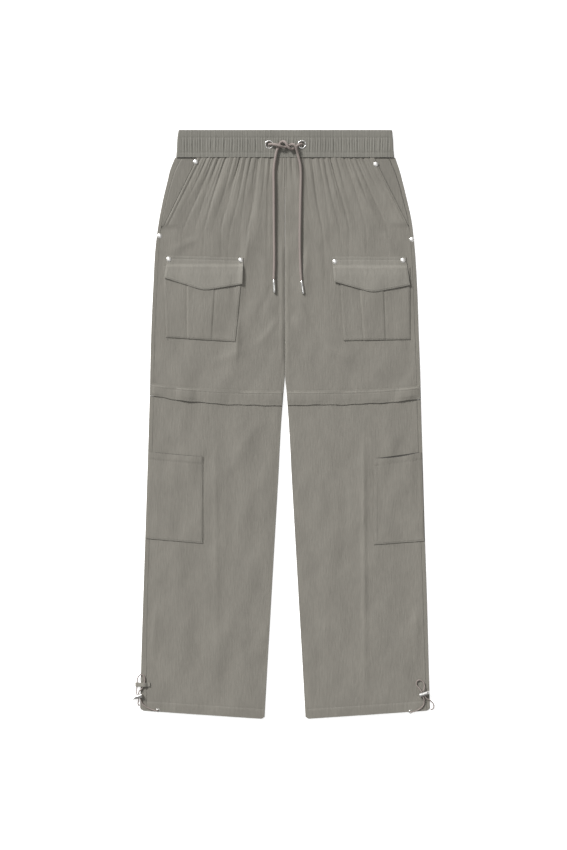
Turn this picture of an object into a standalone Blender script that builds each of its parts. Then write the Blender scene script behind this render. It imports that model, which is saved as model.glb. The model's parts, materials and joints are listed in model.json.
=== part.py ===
"""Convertible zip-off trousers, laid flat with the front up.

X runs across the garment, Y from the hems to the waist, Z up from the surface it lies on. The origin is
under the middle of the laid garment. "left" is the side at -X. Tables and sizes are in millimetres and
become metres when a mesh is made. A place on a leg is given as a distance from the middle line and a y.
"""
import math

import bmesh
import bpy
import numpy as np
from mathutils import Vector

MM = 0.001

SIDES = {"left": -1, "right": 1}

# Cloth walls, and how the layers lie on each other.
CLOTH = 1.2
SEAM_GAP = 0.3
BACK_MID = CLOTH / 2
FRONT_MID = BACK_MID + CLOTH + SEAM_GAP
FOLD_MID = (BACK_MID + FRONT_MID) / 2
FOLD_RADIUS = (FRONT_MID - BACK_MID) / 2
FOLD_OUT = FOLD_RADIUS + CLOTH / 2
LAYER = CLOTH + SEAM_GAP

# Lengths along the garment.
WAIST_TOP = 520.0
WAIST_SEAM = 471.4
LEG_TOP = WAIST_SEAM - SEAM_GAP
CROTCH = 176.0
HEM_INNER = -520.0
HEM_OUTER = -505.0

# Outline of a leg: half widths at each height, and the width of the back panel's lip on the front.
LEG_COLUMNS = ("y", "outer_left", "outer_right", "inner", "lip_left", "lip_right")
LEG_SECTIONS = (
    (471.4, 194.3, 194.8, 0.15, 12.0, 11.0),
    (449.4, 203.1, 202.2, 0.15, 9.0, 9.0),
    (431.7, 207.4, 207.0, 0.15, 7.5, 7.5),
    (396.4, 215.8, 215.6, 0.15, 6.5, 6.5),
    (361.1, 222.6, 223.4, 0.15, 6.0, 6.0),
    (325.8, 227.6, 227.8, 0.15, 6.5, 6.0),
    (237.5, 233.2, 233.8, 0.15, 7.0, 7.0),
    (166.9, 236.4, 236.2, 0.15, 7.0, 7.0),
    (85.6, 238.4, 239.2, 0.15, 7.0, 7.0),
    (60.9, 238.9, 239.8, 2.2, 7.0, 7.0),
    (7.9, 240.4, 241.2, 6.3, 7.5, 7.0),
    (-98.0, 243.7, 244.4, 12.0, 7.5, 7.0),
    (-203.9, 247.2, 247.5, 18.1, 7.5, 7.0),
    (-309.9, 250.8, 251.0, 24.2, 8.0, 7.0),
    (-415.8, 254.2, 253.8, 30.4, 10.0, 6.5),
    (-520.0, 256.6, 256.8, 36.2, 13.0, 5.5),
)

# The cover over the zip: its seam and its free edge, at the inner and the outer side of the leg.
KNEE_COLUMNS = ("side", "seam_inner", "seam_outer", "edge_inner", "edge_outer", "bow")
KNEE_LINES = (
    ("left", 58.3, 71.5, 33.7, 51.6, 2.5),
    ("right", 58.3, 67.3, 34.5, 45.5, 3.0),
)
KNEE_Y = 57.0
ZIP_INSET = 3.0
ZIP_HEIGHT = 10.0
ZIP_SHORT = 6.0
ZIP_LIFT = 1.5
COVER_MID = FRONT_MID + ZIP_LIFT + LAYER
SLIDER_AT = {"left": (176.0, 58.0), "right": (213.0, 55.0)}
SLIDER_SIZE = (12.0, 8.0, 1.8)
SLIDER_BULGE = 2.2

# The slanted hand pockets: where the opening meets the side seam, and its slope in mm per mm.
SLANT_COLUMNS = ("side", "bottom_y", "slope")
SLANTS = (("left", 344.3, 0.493), ("right", 346.5, 0.501))
SLANT_LIFT = 1.7
SLANT_RISE = 10.0
FACING_UNDERLAP = 10.0

# Heights of the rows at the side seam, which front and back share.
UPPER_ROWS = (459.0, 441.0, 421.0, 398.0, 372.0)
THIGH_ROWS = (311.0, 272.0, 226.0, 176.0, 122.0)
SHIN_ROWS = (22.0, -20.0, -72.0, -128.0, -190.0, -255.0, -320.0, -382.0, -440.0, -482.0)

# Gathers under the waistband: place across the panel, depth and length.
GATHER_COLUMNS = ("place", "depth", "length")
GATHERS = (
    (0.075, 0.55, 50.0),
    (0.15, 0.90, 95.0),
    (0.225, 0.60, 60.0),
    (0.30, 1.00, 110.0),
    (0.37, 0.65, 70.0),
    (0.44, 0.80, 85.0),
    (0.51, 0.95, 100.0),
    (0.585, 0.60, 60.0),
    (0.66, 0.90, 95.0),
    (0.735, 0.70, 70.0),
    (0.81, 0.80, 80.0),
    (0.89, 0.55, 55.0),
)
GATHER_WIDTH = 0.021
WAIST_RAISE = 1.2
FULLNESS = 0.9

# The largest folds: two ends (x, y), height and half width.
FOLD_COLUMNS = ("x0", "y0", "x1", "y1", "height", "width")
FOLDS = (
    (-62.0, 345.0, -82.0, 190.0, 0.8, 9.0),
    (-82.0, 190.0, -88.5, 104.0, 0.6, 8.0),
    (113.0, 458.0, 175.0, 336.0, 0.8, 12.0),
    (36.0, 330.0, 30.0, 140.0, 0.6, 12.0),
    (138.0, 34.0, 141.0, -518.0, 0.7, 7.0),
    (-124.0, 34.0, -118.0, -518.0, 0.45, 9.0),
    (-60.0, 20.0, -95.0, -300.0, 0.45, 14.0),
    (75.0, 20.0, 92.0, -330.0, 0.45, 14.0),
)

# Patch pockets and flaps: distances from the middle line and heights of their corners.
PATCH_COLUMNS = ("inner_top", "outer_top", "inner_bottom", "outer_bottom",
                 "top_inner_y", "top_outer_y", "bottom_inner_y", "bottom_outer_y")
THIGH_POCKETS = {
    "left": (75.0, 214.9, 87.6, 210.1, 279.0, 279.5, 146.2, 154.0),
    "right": (96.1, 220.5, 103.6, 220.5, 277.0, 277.0, 148.1, 150.1),
}
THIGH_FLAPS = {
    "left": (73.3, 207.3, 75.0, 212.9, 294.5, 298.4, 247.7, 258.7),
    "right": (83.0, 213.0, 86.5, 220.5, 296.5, 296.0, 252.0, 245.8),
}
FLAP_POINTS = {"left": (143.0, 236.3), "right": (154.5, 232.7)}
SHIN_POCKETS = {
    "left": (145.3, 240.6, 145.3, 245.4, -56.7, -48.2, -209.8, -201.1),
    "right": (157.5, 241.3, 157.5, 245.8, -60.0, -48.5, -211.9, -205.7),
}
PLEATS = {"left": (127.5, 171.8), "right": (136.5, 175.0)}
PLEAT_RAISE = 0.6
POCKET_EASE = 0.25
SHIN_MOUTH_LIFT = 1.0

# The waistband: a flattened ring, with shirring ridges between its two rows of sewing.
BAND_WALL = 2.2
BAND_COLUMNS = ("y", "left", "right", "ridge")
BAND_SECTIONS = (
    (471.4, 192.5, 193.0, 0.3),
    (481.0, 191.8, 192.3, 0.35),
    (488.0, 191.4, 191.8, 1.0),
    (502.0, 190.6, 190.9, 1.0),
    (507.5, 190.2, 190.4, 0.3),
    (517.5, 188.6, 189.6, 0.3),
    (520.0, 187.2, 188.6, 0.0),
)
RIDGES = 44
RIDGE_HEIGHT = 0.45
BAND_TOP_Z = 2 * BAND_WALL + SEAM_GAP

# Eyelets in the band, for the drawstring.
EYELETS = {"left": (-27.9, 494.2), "right": (30.0, 494.4)}
EYELET_HOLE = 5.3
EYELET_BARREL = 5.9
EYELET_CUT = 6.2
EYELET_FLANGE = 7.75
EYELET_FLAT = 11.0

# Round rivets: name and place of each.
RIVET_RADIUS = 4.3
RIVET_HEIGHT = 1.9
RIVETS = (
    ("slant_rivet_top_left", -157.7, 463.5),
    ("slant_rivet_low_left", -221.6, 333.0),
    ("slant_rivet_top_right", 160.5, 459.3),
    ("slant_rivet_low_right", 224.2, 326.8),
    ("flap_rivet_outer_left", -205.0, 291.7),
    ("flap_rivet_inner_left", -78.2, 290.0),
    ("flap_rivet_inner_right", 88.0, 287.4),
    ("flap_rivet_outer_right", 208.3, 289.8),
)

# Drawstring: two free ends that cross in half a knot between the eyelets.
STRING_WIDTH = 4.8
STRING_ROUTES = {
    "left": (
        (-27.9, 494.3, 3.6), (-27.8, 494.3, 5.0), (-27.2, 494.3, 6.5), (-25.2, 494.2, 8.4), (-20.6, 493.6, 11.2),
        (-14.6, 492.2, 13.4), (-9.0, 490.4, 13.6), (-3.0, 488.8, 10.6), (2.6, 489.2, 8.2),
        (7.6, 491.6, 8.8), (11.8, 493.6, 11.6), (15.6, 492.8, 13.8), (18.6, 489.6, 14.0),
        (20.6, 484.4, 12.2), (22.2, 478.4, 9.6), (24.2, 470.0, 8.2), (26.6, 460.0, 7.7),
        (27.9, 448.0, 7.4), (28.0, 430.0, 7.2), (27.3, 400.0, 6.9), (26.6, 360.0, 6.7),
        (26.2, 320.0, 6.6), (26.8, 290.0, 6.6), (27.9, 266.0, 6.6), (28.9, 253.5, 6.6),
    ),
    "right": (
        (30.0, 494.4, 3.6), (29.9, 494.4, 5.0), (29.3, 494.4, 6.5), (27.4, 494.1, 8.2), (24.0, 492.7, 9.2),
        (19.6, 490.0, 8.4), (15.4, 486.8, 8.4), (11.0, 485.0, 10.4), (7.4, 486.8, 13.0),
        (4.4, 490.8, 14.0), (1.6, 495.4, 13.8), (-2.4, 498.6, 11.8), (-6.8, 497.6, 9.2),
        (-10.0, 493.4, 8.1), (-12.0, 488.4, 8.1), (-14.2, 483.0, 8.2), (-15.8, 477.0, 8.2),
        (-17.0, 470.0, 8.2), (-18.6, 460.0, 7.7), (-19.7, 448.0, 7.3), (-19.6, 420.0, 7.0),
        (-19.4, 380.0, 6.8), (-19.2, 340.0, 6.7), (-18.9, 300.0, 6.6), (-19.3, 270.0, 6.6),
        (-19.8, 255.5, 6.6),
    ),
}
AGLET_RADIUS = 2.5
AGLET_LENGTH = 23.0
AGLETS = {"left": ((28.9, 253.2), (32.0, 231.4)), "right": ((-19.8, 255.2), (-18.9, 232.3))}
AGLET_Z = 6.6

# Hem cords: from the hem eyelet through the lock, round its loop, back through it to the side of the hem.
HEM_CORD_WIDTH = 2.2
HEM_ROUTES = {
    "left": (
        (-224.6, -504.8, 3.7), (-224.6, -504.8, 4.7), (-225.2, -504.8, 5.7), (-226.8, -504.7, 6.1),
        (-229.8, -504.4, 5.8), (-234.6, -503.2, 5.0),
        (-241.0, -500.8, 4.5), (-247.4, -497.0, 4.5), (-252.2, -491.6, 4.9), (-254.4, -487.0, 5.9),
        (-255.6, -483.0, 6.4), (-256.9, -479.5, 6.4), (-258.2, -475.8, 6.4), (-257.8, -471.6, 5.9),
        (-254.6, -468.4, 5.0), (-251.2, -464.2, 4.6), (-248.8, -457.5, 4.5), (-247.6, -450.0, 4.5),
        (-249.2, -444.0, 4.5), (-253.4, -441.2, 4.4), (-258.0, -443.8, 3.6), (-260.6, -450.0, 3.1),
        (-261.3, -458.0, 3.1), (-261.7, -464.6, 3.2), (-261.9, -470.4, 4.2), (-261.4, -475.8, 5.4),
        (-259.7, -480.5, 5.6),
        (-258.2, -484.6, 5.5), (-258.6, -488.6, 4.2), (-259.6, -492.4, 2.5), (-259.2, -495.4, 1.6),
        (-256.9, -496.4, 1.5),
    ),
    "right": (
        (221.7, -507.2, 3.8), (221.7, -507.2, 4.8), (222.3, -507.2, 5.8), (223.9, -507.1, 6.2),
        (226.8, -506.6, 5.9), (231.6, -505.2, 5.0),
        (237.6, -502.2, 4.6), (243.0, -497.2, 4.6), (245.6, -491.0, 5.0), (245.3, -485.6, 6.2),
        (243.9, -481.2, 6.9), (242.2, -475.9, 6.9), (240.6, -470.8, 6.9), (236.8, -465.4, 5.8),
        (232.6, -460.0, 4.7), (232.0, -454.4, 4.5), (236.6, -451.0, 4.5), (242.2, -453.0, 4.5),
        (245.8, -458.6, 4.7), (245.9, -464.6, 5.9), (243.7, -470.2, 6.9), (245.2, -474.9, 6.9),
        (246.8, -479.9, 6.9), (250.2, -483.8, 5.8), (255.4, -486.6, 4.7), (260.2, -490.6, 3.2),
        (262.7, -496.0, 1.7), (261.9, -500.8, 1.5), (259.6, -503.0, 1.5), (257.4, -503.4, 1.5),
    ),
}
HEM_EYELETS = {"left": (-224.6, -504.8), "right": (221.7, -507.2)}
HEM_EYELET_RADIUS = 3.7
HEM_EYELET_HOLE = 1.6
LOCK_RADIUS = 3.8
LOCK_LENGTH = 13.5
LOCK_SLOT = (6.4, 2.9)
PLUNGER_RADIUS = 2.9
PLUNGER_LENGTH = 4.5
LOCKS = {
    "left": {"at": (-258.3, -480.0, 6.0), "turn": 20.0, "tilt": 14.0},
    "right": {"at": (243.7, -475.4, 6.9), "turn": 17.6, "tilt": 0.0},
}

COLOURS = {
    "cloth": ((0.252, 0.236, 0.212, 1.0), 0.85, 0.0),
    "tape": ((0.10, 0.095, 0.085, 1.0), 0.8, 0.0),
    "cord": ((0.28, 0.235, 0.215, 1.0), 0.85, 0.0),
    "metal": ((0.78, 0.77, 0.75, 1.0), 0.22, 1.0),
}


def column(rows, names, name):
    """One named column of a table."""
    return np.array([row[names.index(name)] for row in rows], float)


def row_of(rows, names, side):
    """The row of a table for one side, as a dictionary."""
    return next(dict(zip(names, row)) for row in rows if row[0] == side)


def smooth(at, knots, values):
    """A smooth curve through a table: cubic pieces with the slopes of its neighbours."""
    order = np.argsort(knots)
    knots, values = knots[order], values[order]
    slopes = np.gradient(values, knots)
    at = np.clip(np.asarray(at, float), knots[0], knots[-1])
    i = np.clip(np.searchsorted(knots, at) - 1, 0, len(knots) - 2)
    width = knots[i + 1] - knots[i]
    t = (at - knots[i]) / width
    return (
        values[i] * (1 + 2 * t) * (1 - t) ** 2
        + values[i + 1] * t * t * (3 - 2 * t)
        + slopes[i] * width * t * (1 - t) ** 2
        - slopes[i + 1] * width * t * t * (1 - t)
    )


def step(at, low, high):
    """0 below low and 1 above high, with a smooth rise between."""
    t = np.clip((np.asarray(at, float) - low) / (high - low), 0, 1)
    return t * t * (3 - 2 * t)


def leg(name, side, y):
    """A column of the leg's outline at heights y."""
    label = name if name == "inner" else f"{name}_{side}"
    found = smooth(y, column(LEG_SECTIONS, LEG_COLUMNS, "y"), column(LEG_SECTIONS, LEG_COLUMNS, label))
    return np.maximum(found, SEAM_GAP / 2)


def side_seam(side, y):
    """Distance of the side seam from the middle line."""
    return leg("outer", side, y) - leg("lip", side, y)


def slant(side, y):
    """Distance of the hand pocket's opening from the middle line."""
    line = row_of(SLANTS, SLANT_COLUMNS, side)
    return side_seam(side, line["bottom_y"]) - line["slope"] * (np.asarray(y, float) - line["bottom_y"])


def front_edge(side, y):
    """Outer edge of the front panel: the side seam, cut back along the hand pocket."""
    return np.minimum(side_seam(side, y) - SEAM_GAP / 2, slant(side, y))


def hem(side, distance):
    """Height of the hem at a distance from the middle line."""
    across = across_leg(side, distance, np.full(np.shape(distance), HEM_INNER))
    return HEM_INNER + (HEM_OUTER - HEM_INNER) * across


def knee(side, which, distance):
    """Height of the cover's seam or free edge at a distance from the middle line."""
    line = row_of(KNEE_LINES, KNEE_COLUMNS, side)
    across = across_leg(side, distance, np.full(np.shape(distance), KNEE_Y))
    rise = line[f"{which}_outer"] - line[f"{which}_inner"]
    return line[f"{which}_inner"] + rise * across ** line["bow"]


def across_leg(side, distance, y):
    """Place across the leg: 0 at its inner edge, 1 at its outer edge."""
    inner = leg("inner", side, y)
    return np.clip((distance - inner) / (leg("outer", side, y) - inner), 0, 1)


def folds(x, y):
    """Height of the largest folds at points of the front."""
    total = np.zeros(np.broadcast(x, y).shape)
    for row in FOLDS:
        fold = dict(zip(FOLD_COLUMNS, row))
        along = np.array([fold["x1"] - fold["x0"], fold["y1"] - fold["y0"]])
        length = math.hypot(*along)
        along = along / length
        run = (x - fold["x0"]) * along[0] + (y - fold["y0"]) * along[1]
        off = (x - fold["x0"]) * along[1] - (y - fold["y0"]) * along[0]
        ends = step(run, 0, 0.2 * length) * (1 - step(run, 0.8 * length, length))
        total = total + fold["height"] * ends * np.exp(-(off / fold["width"]) ** 2)
    return total


def front_mid(side, distance, y):
    """Middle of the front layer's wall over a place of the leg, lip and panel alike."""
    distance, y = np.broadcast_arrays(np.asarray(distance, float), np.asarray(y, float))
    inner = leg("inner", side, y)
    edge = front_edge(side, y)
    place = np.clip((distance - inner) / (edge - inner), 0, 1)
    fade = np.clip((1 - place) / 0.06, 0, 1) * np.clip(place / 0.03 + step(y, CROTCH, CROTCH + 60), 0, 1)
    down = LEG_TOP - y
    lift = FULLNESS * 4 * place * (1 - place) + WAIST_RAISE * np.exp(-((down / 60) ** 2))
    for row in GATHERS:
        gather = dict(zip(GATHER_COLUMNS, row))
        reach = np.exp(-((down / gather["length"]) ** 2) * 2)
        lift = lift - gather["depth"] * reach * np.exp(-((place - gather["place"]) / GATHER_WIDTH) ** 2)
    lift = lift + 0.6 * np.exp(-(((y - 55.0) / 30.0) ** 2)) + folds(SIDES[side] * distance, y)
    lift = lift * fade
    line = row_of(SLANTS, SLANT_COLUMNS, side)
    over = step(y, line["bottom_y"], line["bottom_y"] + SLANT_RISE) * (1 - step(edge - distance, 13.0, 42.0))
    lift = lift + over * (np.maximum(lift, SLANT_LIFT) - lift)
    lip = distance > edge + 0.01
    return FRONT_MID + np.where(lip, 0.0, lift)


def surface(name, x, y, z, kind, wall=CLOTH, ring=False):
    """A cloth piece: a grid of points through the middle of its wall, given thickness by Solidify.

    The rows of the grid run down the piece and its columns across it; ring joins the last column to
    the first.
    """
    rows, columns = x.shape
    points = np.stack([x, y, np.broadcast_to(z, x.shape)], -1).reshape(-1, 3) * MM
    number = np.arange(rows * columns).reshape(rows, columns)
    if ring:
        number = np.concatenate([number, number[:, :1]], 1)
    corners = [number[:-1, :-1], number[1:, :-1], number[1:, 1:], number[:-1, 1:]]
    faces = np.stack(corners, -1).reshape(-1, 4)
    mesh = bpy.data.meshes.new(name)
    mesh.from_pydata(points.tolist(), [], faces.tolist())
    piece = finished(name, mesh, kind)
    thick = piece.modifiers.new("wall", "SOLIDIFY")
    thick.thickness = wall * MM
    thick.offset = 0.0
    return piece


def finished(name, mesh, kind, smooth_shaded=True):
    """An object of the trousers with its material, in their collection."""
    if smooth_shaded:
        mesh.shade_smooth()
        mesh.set_sharp_from_angle(angle=math.radians(40))
    piece = bpy.data.objects.new(name, mesh)
    mesh.materials.append(material(name, kind))
    PARTS.objects.link(piece)
    return piece


def material(name, kind):
    """A plain Principled material of one of the garment's finishes."""
    colour, roughness, metallic = COLOURS[kind]
    made = bpy.data.materials.new(f"{name}_{kind}")
    made.use_nodes = True
    shader = made.node_tree.nodes["Principled BSDF"]
    shader.inputs["Base Color"].default_value = colour
    shader.inputs["Roughness"].default_value = roughness
    shader.inputs["Metallic"].default_value = metallic
    return made


def down_rows(top, bottom, rows):
    """Heights of a grid's rows between two lines, each a height for every column.

    rows gives the heights at the last column, which is at the side; the others follow in proportion.
    """
    rows = np.concatenate([top[-1:], np.asarray(rows, float), bottom[-1:]])
    shares = ((top[-1] - rows) / (top[-1] - bottom[-1]))[:, None]
    return top + (bottom - top) * shares


def inner_roll(side, y, down):
    """The rolled inner edge of a layer: distances and mid heights of its first three columns.

    Below the crotch the edge leans towards the other layer; above it lies flat.
    """
    angle = np.radians([125.0, 107.0, 90.0])[None, :]
    turned = step(CROTCH + 8 - y, 0, 16)[:, None]
    inner = leg("inner", side, y)[:, None]
    flat = inner + np.array([0.0, 0.6, FOLD_OUT])[None, :]
    curled = inner + FOLD_OUT + FOLD_RADIUS * np.cos(angle)
    drop = FOLD_RADIUS * (1 - np.sin(angle)) * turned
    return flat + (curled - flat) * turned, drop if down else -drop


def ends(side, line, places, edge):
    """Heights of a panel's end at places from its rolled inner edge to its outer edge."""
    if not callable(line):
        return np.full(len(places), line)
    guess = np.full(len(places), KNEE_Y)
    for _ in range(3):
        start = leg("inner", side, guess) + FOLD_OUT
        guess = line(start + (edge(side, guess) - start) * places)
    return guess


def front_panel(name, side, top, bottom, rows, places):
    """A front panel between two lines, with its rolled inner edge."""
    places = np.asarray(places, float)
    width = np.concatenate([[0.0, 0.0, 0.0], places])
    y = down_rows(ends(side, top, width, front_edge), ends(side, bottom, width, front_edge), rows)
    roll, drop = inner_roll(side, y[:, 0], True)
    start = leg("inner", side, y[:, 3:]) + FOLD_OUT
    distance = np.concatenate([roll, start + (front_edge(side, y[:, 3:]) - start) * places], 1)
    z = front_mid(side, distance, y)
    z[:, :3] -= drop
    return surface(name, SIDES[side] * distance, y, z, "cloth")


def outer_edge(side, y):
    """Distance at which the back's fold starts."""
    return leg("outer", side, y) - FOLD_OUT


def back_panel(name, side, top, bottom, rows):
    """A back panel: flat underneath, round the outer fold, and up to the side seam on the front."""
    flat = np.array([0.2, 0.45, 0.7, 0.9])
    angles = np.radians(np.linspace(-90, 90, 6))
    width = np.concatenate([np.zeros(3), flat, np.ones(len(angles) + 1)])
    y = down_rows(ends(side, top, width, outer_edge), ends(side, bottom, width, outer_edge), rows)
    roll, drop = inner_roll(side, y[:, 0], False)
    start = leg("inner", side, y[:, 3:7]) + FOLD_OUT
    centre = leg("outer", side, y[:, 7:]) - FOLD_OUT
    level = start + (leg("outer", side, y[:, 3:7]) - FOLD_OUT - start) * flat
    turned = centre[:, :-1] + FOLD_RADIUS * np.cos(angles)
    end = side_seam(side, y[:, -1:]) + SEAM_GAP / 2
    distance = np.concatenate([roll, level, turned, end], 1)
    z = np.full(y.shape, BACK_MID)
    z[:, :3] -= drop
    z[:, 7:13] = FOLD_MID + FOLD_RADIUS * np.sin(angles)
    z[:, 13] = FRONT_MID
    return surface(name, SIDES[side] * distance, y, z, "cloth")


def patch(corners, across, shares):
    """Distances and heights of a four-sided patch's grid."""
    c = dict(zip(PATCH_COLUMNS, corners))
    s, t = np.asarray(shares, float)[:, None], np.asarray(across, float)[None, :]
    inner = c["inner_top"] + (c["inner_bottom"] - c["inner_top"]) * s
    outer = c["outer_top"] + (c["outer_bottom"] - c["outer_top"]) * s
    top = c["top_inner_y"] + (c["top_outer_y"] - c["top_inner_y"]) * t
    bottom = c["bottom_inner_y"] + (c["bottom_outer_y"] - c["bottom_inner_y"]) * t
    return inner + (outer - inner) * t, top + (bottom - top) * s


def make_uppers(side):
    """The shorts part of one leg."""
    troughs = column(GATHERS, GATHER_COLUMNS, "place")
    ridges = (troughs[1:] + troughs[:-1]) / 2
    places = np.sort(np.concatenate([troughs, ridges, [0.035, 0.925, 0.965, 1.0]]))
    corner = row_of(SLANTS, SLANT_COLUMNS, side)["bottom_y"]
    rows = (*UPPER_ROWS, corner + SLANT_RISE, corner, *THIGH_ROWS)
    front_panel(f"front_upper_{side}", side, LEG_TOP, lambda d: knee(side, "seam", d) - ZIP_INSET, rows, places)
    back_panel(f"back_upper_{side}", side, LEG_TOP, lambda d: knee(side, "seam", d), rows)


def make_facing(side):
    """The hand pocket's facing, level with the lip and under the edge of the front panel."""
    line = row_of(SLANTS, SLANT_COLUMNS, side)
    above = line["bottom_y"]
    shared = np.array([LEG_TOP, *UPPER_ROWS, above + SLANT_RISE, above])
    y = np.array([LEG_TOP, *UPPER_ROWS, above + 19, above + SLANT_RISE, above + 5])
    outer = np.interp(-y, -shared, side_seam(side, shared)) - SEAM_GAP / 2
    under = (FACING_UNDERLAP + SEAM_GAP) * step(y, above + SLANT_RISE, above + 24)
    inner = np.minimum(slant(side, y) + SEAM_GAP, outer - 0.9) - under
    share = np.array([0.0, 0.5, 1.0])
    distance = inner[:, None] + (outer - inner)[:, None] * share
    heights = np.broadcast_to(y[:, None], distance.shape)
    surface(f"pocket_facing_{side}", SIDES[side] * distance, heights, FRONT_MID, "cloth")


def make_lowers(side):
    """The zip-off lower leg."""
    places = [0.04, 0.12, 0.22, 0.32, 0.42, 0.47, 0.52, 0.57, 0.62, 0.72, 0.84, 0.94, 1.0]
    start = ZIP_INSET + ZIP_HEIGHT + 2 * SEAM_GAP
    front_panel(f"front_lower_{side}", side, lambda d: knee(side, "seam", d) - start,
                lambda d: hem(side, d), SHIN_ROWS, places)
    back_panel(f"back_lower_{side}", side, lambda d: knee(side, "edge", d) - SEAM_GAP,
               lambda d: hem(side, d), SHIN_ROWS)


def make_knee(side):
    """The zip tape round the leg, its slider, and the cover over them, front and back."""
    across = np.linspace(0, 1, 10)
    turns = np.radians([-60.0, 0.0, 60.0])
    low = FRONT_MID
    high = FRONT_MID + ZIP_LIFT
    radius = (high - low) / 2
    level = np.zeros(len(across))
    loop = np.concatenate([across, np.ones(3), across[::-1], np.zeros(3)])
    bulge = np.concatenate([level, radius * np.cos(turns), level, -radius * np.cos(turns)])
    start = leg("inner", side, KNEE_Y) + ZIP_SHORT
    end = side_seam(side, KNEE_Y) - ZIP_SHORT
    distance = np.stack([start + (end - start) * loop + bulge] * 2)
    top = knee(side, "seam", distance[0]) - ZIP_INSET - SEAM_GAP
    y = np.stack([top, top - ZIP_HEIGHT])
    z = np.concatenate([level + low, low + radius + radius * np.sin(turns),
                        level + high, low + radius - radius * np.sin(turns)])
    surface(f"knee_zip_{side}", SIDES[side] * distance, y, z, "tape", ring=True)

    back_panel(f"knee_flap_back_{side}", side, lambda d: knee(side, "seam", d) - SEAM_GAP,
               lambda d: knee(side, "edge", d), [])
    make_cover(side)
    make_slider(side)


def make_cover(side):
    """The front of the cover: sewn down at its top edge, free and a little proud at its lower edge."""
    at, bulge_y = SLIDER_AT[side]
    inner = leg("inner", side, bulge_y) + 0.4
    outer = leg("outer", side, bulge_y) - FOLD_OUT - 0.2
    slider = (at - inner) / (outer - inner)
    half = SLIDER_SIZE[0] / 2 / (outer - inner)
    places = np.array([0, 0.015, 0.12, 0.26, 0.4, 0.53, slider - 2.4 * half, slider - 1.25 * half, slider,
                       slider + 1.25 * half, slider + 2.4 * half, 0.955, 0.975, 1.0])
    places = np.sort(places)
    offsets = np.array([2.0, -0.8, -2.8])
    seam_y = knee(side, "seam", inner + (outer - inner) * places)
    edge_y = knee(side, "edge", inner + (outer - inner) * places)
    middle = (seam_y - ZIP_INSET - ZIP_HEIGHT - 2.0)[None, :]
    y = np.concatenate([seam_y[None, :] + offsets[:, None], middle, edge_y[None, :]])
    distance = leg("inner", side, y) + 0.4
    distance = distance + (leg("outer", side, y) - FOLD_OUT - 0.2 - distance) * places
    over = front_mid(side, distance, y) + LAYER
    high = step(places, 0, 0.015) * (1 - step(places, 0.972, 0.995))
    top = COVER_MID * high + (FRONT_MID + LAYER + 0.1) * (1 - high)
    z = np.stack([over[0], over[1] + 0.1, np.maximum(top, over[2]), np.maximum(top, over[3]),
                  np.maximum(0.45 * top + 0.55 * over[4], over[4] + 0.1)])
    bump = SLIDER_BULGE * (1 - step(np.abs(places - slider), 1.3 * half, 2.4 * half))
    z[2:4] += bump
    z[4] += 0.4 * bump
    surface(f"knee_flap_front_{side}", SIDES[side] * distance, y, z, "cloth")


def make_slider(side):
    """The zip's slider, hidden under the cover but for the bulge that it makes."""
    bpy.ops.mesh.primitive_cube_add(size=1)
    piece = bpy.context.object
    piece.name = f"knee_slider_{side}"
    distance, y = SLIDER_AT[side]
    long, wide, high = (v * MM for v in SLIDER_SIZE)
    z = FRONT_MID + ZIP_LIFT + CLOTH / 2 + SEAM_GAP
    piece.scale = (long, wide, high)
    y = float(knee(side, "seam", distance)) - ZIP_INSET - SEAM_GAP - ZIP_HEIGHT / 2
    piece.location = (SIDES[side] * distance * MM, y * MM, z * MM + high / 2)
    bpy.ops.object.transform_apply(location=False, rotation=False, scale=True)
    round_edges(piece, 0.5)
    adopt(piece, "metal")


def make_thigh(side):
    """The patch pocket with its box pleat, and the pointed flap over its mouth."""
    corners = THIGH_POCKETS[side]
    c = dict(zip(PATCH_COLUMNS, corners))
    low, high = PLEATS[side]
    width = c["outer_top"] - c["inner_top"]
    pleat = (np.array([low - 2, low + 2, high - 2, high + 2]) - c["inner_top"]) / width
    between = [pleat[0] / 2, (pleat[1] + pleat[2]) / 2, (1 + pleat[3]) / 2]
    across = np.sort(np.concatenate([[0, 0.03, 0.97, 1.0], pleat, between]))
    distance, y = patch(corners, across, [0, 0.2, 0.45, 0.7, 0.95, 1.0])
    z = front_mid(side, distance, y) + LAYER + POCKET_EASE
    raised = step(across, pleat[0], pleat[1]) * (1 - step(across, pleat[2], pleat[3]))
    rows = np.array([0.3, 1.0, 1.0, 0.9, 0.5, 0.2])[:, None]
    full = 0.5 * np.sin(np.pi * across) * np.array([0.1, 1.0, 1.0, 0.8, 0.2, 0.0])[:, None]
    surface(f"thigh_pocket_{side}", SIDES[side] * distance, y, z + PLEAT_RAISE * raised * rows + full, "cloth")
    make_flap(side, c)


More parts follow.
